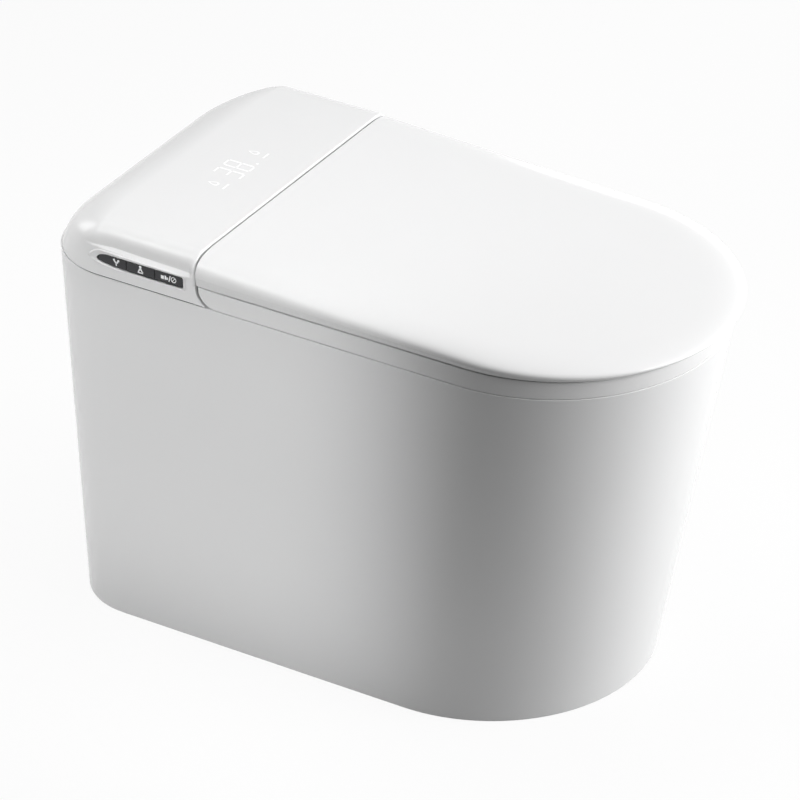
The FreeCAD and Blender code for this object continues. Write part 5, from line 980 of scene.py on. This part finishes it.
world = bpy.data.worlds.new("studio")
bpy.context.scene.world = world
world.use_nodes = True
sky = world.node_tree
sky_path = sky.nodes.new("ShaderNodeLightPath")
sky_seen = sky_path.outputs["Is Camera Ray"]
for ray in ("Glossy", "Transmission"):
    sky_add = sky.nodes.new("ShaderNodeMath")
    sky_add.operation = "MAXIMUM"
    sky.links.new(sky_seen, sky_add.inputs[0])
    sky.links.new(sky_path.outputs[f"Is {ray} Ray"], sky_add.inputs[1])
    sky_seen = sky_add.outputs[0]
sky_mix = sky.nodes.new("ShaderNodeMixShader")
dim = sky.nodes["Background"]
bright = sky.nodes.new("ShaderNodeBackground")
for background, strength in ((dim, WORLD_DIM), (bright, WORLD_SEEN)):
    background.inputs["Color"].default_value = WHITE
    background.inputs["Strength"].default_value = strength
sky.links.new(sky_seen, sky_mix.inputs[0])
sky.links.new(dim.outputs[0], sky_mix.inputs[1])
sky.links.new(bright.outputs[0], sky_mix.inputs[2])
sky.links.new(sky_mix.outputs[0], sky.nodes["World Output"].inputs["Surface"])
print("floor of", 2 * FLOOR, "metres and world", world.name)

# %% [markdown]
# ## Lamps
# A white form is drawn by lamps of unlike strength. The strongest stands in front and above, and the next at
# the right front corner. The left side turns away from both, so a weak panel close by, narrowed by a
# honeycomb, lifts its rear half. A lamp above evens the tops; it and the panel aren't mirrored, because their
# pictures would lie on the lid as patches. A small lamp behind on the left gives the rolls their shine, and
# two more keep the back and the right side readable.

# %% Lamps


def softbox(name, place, aim, size, power, spread=180.0, mirrored=True):
    """A broad area lamp at a place, turned to an aim, with a size in metres, a power in watts and, behind a
    honeycomb, a narrower spread in degrees. A lamp that isn't mirrored leaves no picture in the gloss."""
    light = bpy.data.lights.new(name, "AREA")
    light.shape = "RECTANGLE"
    light.size, light.size_y = size
    light.energy = power
    light.spread = math.radians(spread)
    lamp = bpy.data.objects.new(name, light)
    bpy.context.scene.collection.objects.link(lamp)
    lamp.location = place
    lamp.rotation_euler = (Vector(aim) - Vector(place)).to_track_quat("-Z", "Y").to_euler()
    lamp.visible_camera = False
    lamp.visible_glossy = mirrored
    print(name, power, "watts")


softbox("top_box", (0.0, 0.2, 1.6), (0.0, 0.0, 0.3), (0.8, 0.8), 8.4, mirrored=False)
softbox("front_box", (0.295, -2.098, 1.377), (0.0, 0.0, 0.25), (1.4, 1.0), 43.0)
softbox("corner_box", (1.5, -1.75, 0.5), (0.0, 0.0, 0.2), (0.9, 1.2), 24.0)
softbox("side_panel", (-0.62, 0.415, 0.35), (-0.17, 0.415, 0.22), (1.0, 0.5), 0.9, 40.0, mirrored=False)
softbox("roll_box", (-0.95, 0.91, 1.57), (-0.17, 0.2, 0.43), (0.4, 0.9), 3.0)
softbox("rear_box", (0.2, 2.3, 0.9), (0.0, 0.0, 0.25), (1.2, 1.2), 8.0)
softbox("right_box", (2.3, 0.4, 0.8), (0.0, 0.0, 0.25), (1.0, 1.0), 8.0)

# %% [markdown]
# ## The camera
# The camera stands far off with a long lens, as for a product picture, so that edges which are parallel on
# the object stay nearly parallel. It is given by two angles, a small roll and the distance to the point it
# aims at.

# %% Camera
AZIMUTH, ELEVATION, ROLL = math.radians(-58.99), math.radians(30.88), math.radians(0.17)
FOCAL_PIXELS, PICTURE = 5738.28, 800
DISTANCE, SIDEWAYS, AIM_HEIGHT, AIM_BACK = 5.63137, -0.01168, 0.23549, 0.0055
SENSOR = 36.0
FAR = 100.0
level = math.cos(ELEVATION)
back = Vector((math.sin(AZIMUTH) * level, -math.cos(AZIMUTH) * level, math.sin(ELEVATION)))
right = Vector((math.cos(AZIMUTH), math.sin(AZIMUTH), 0.0))
up = back.cross(right)
rolled_right = right * math.cos(ROLL) + up * math.sin(ROLL)
rolled_up = up * math.cos(ROLL) - right * math.sin(ROLL)
aim = right * SIDEWAYS + Vector((0.0, AIM_BACK, AIM_HEIGHT))
lens = bpy.data.cameras.new("camera")
lens.sensor_width = SENSOR
lens.lens = SENSOR * FOCAL_PIXELS / PICTURE
lens.clip_end = FAR
camera = bpy.data.objects.new("camera", lens)
bpy.context.scene.collection.objects.link(camera)
turn = Matrix((rolled_right, rolled_up, back)).transposed().to_4x4()
camera.matrix_world = Matrix.Translation(aim + back * DISTANCE) @ turn
bpy.context.scene.camera = camera
bpy.context.scene.view_settings.view_transform = "Standard"
print("camera lens", round(lens.lens, 2), "mm")
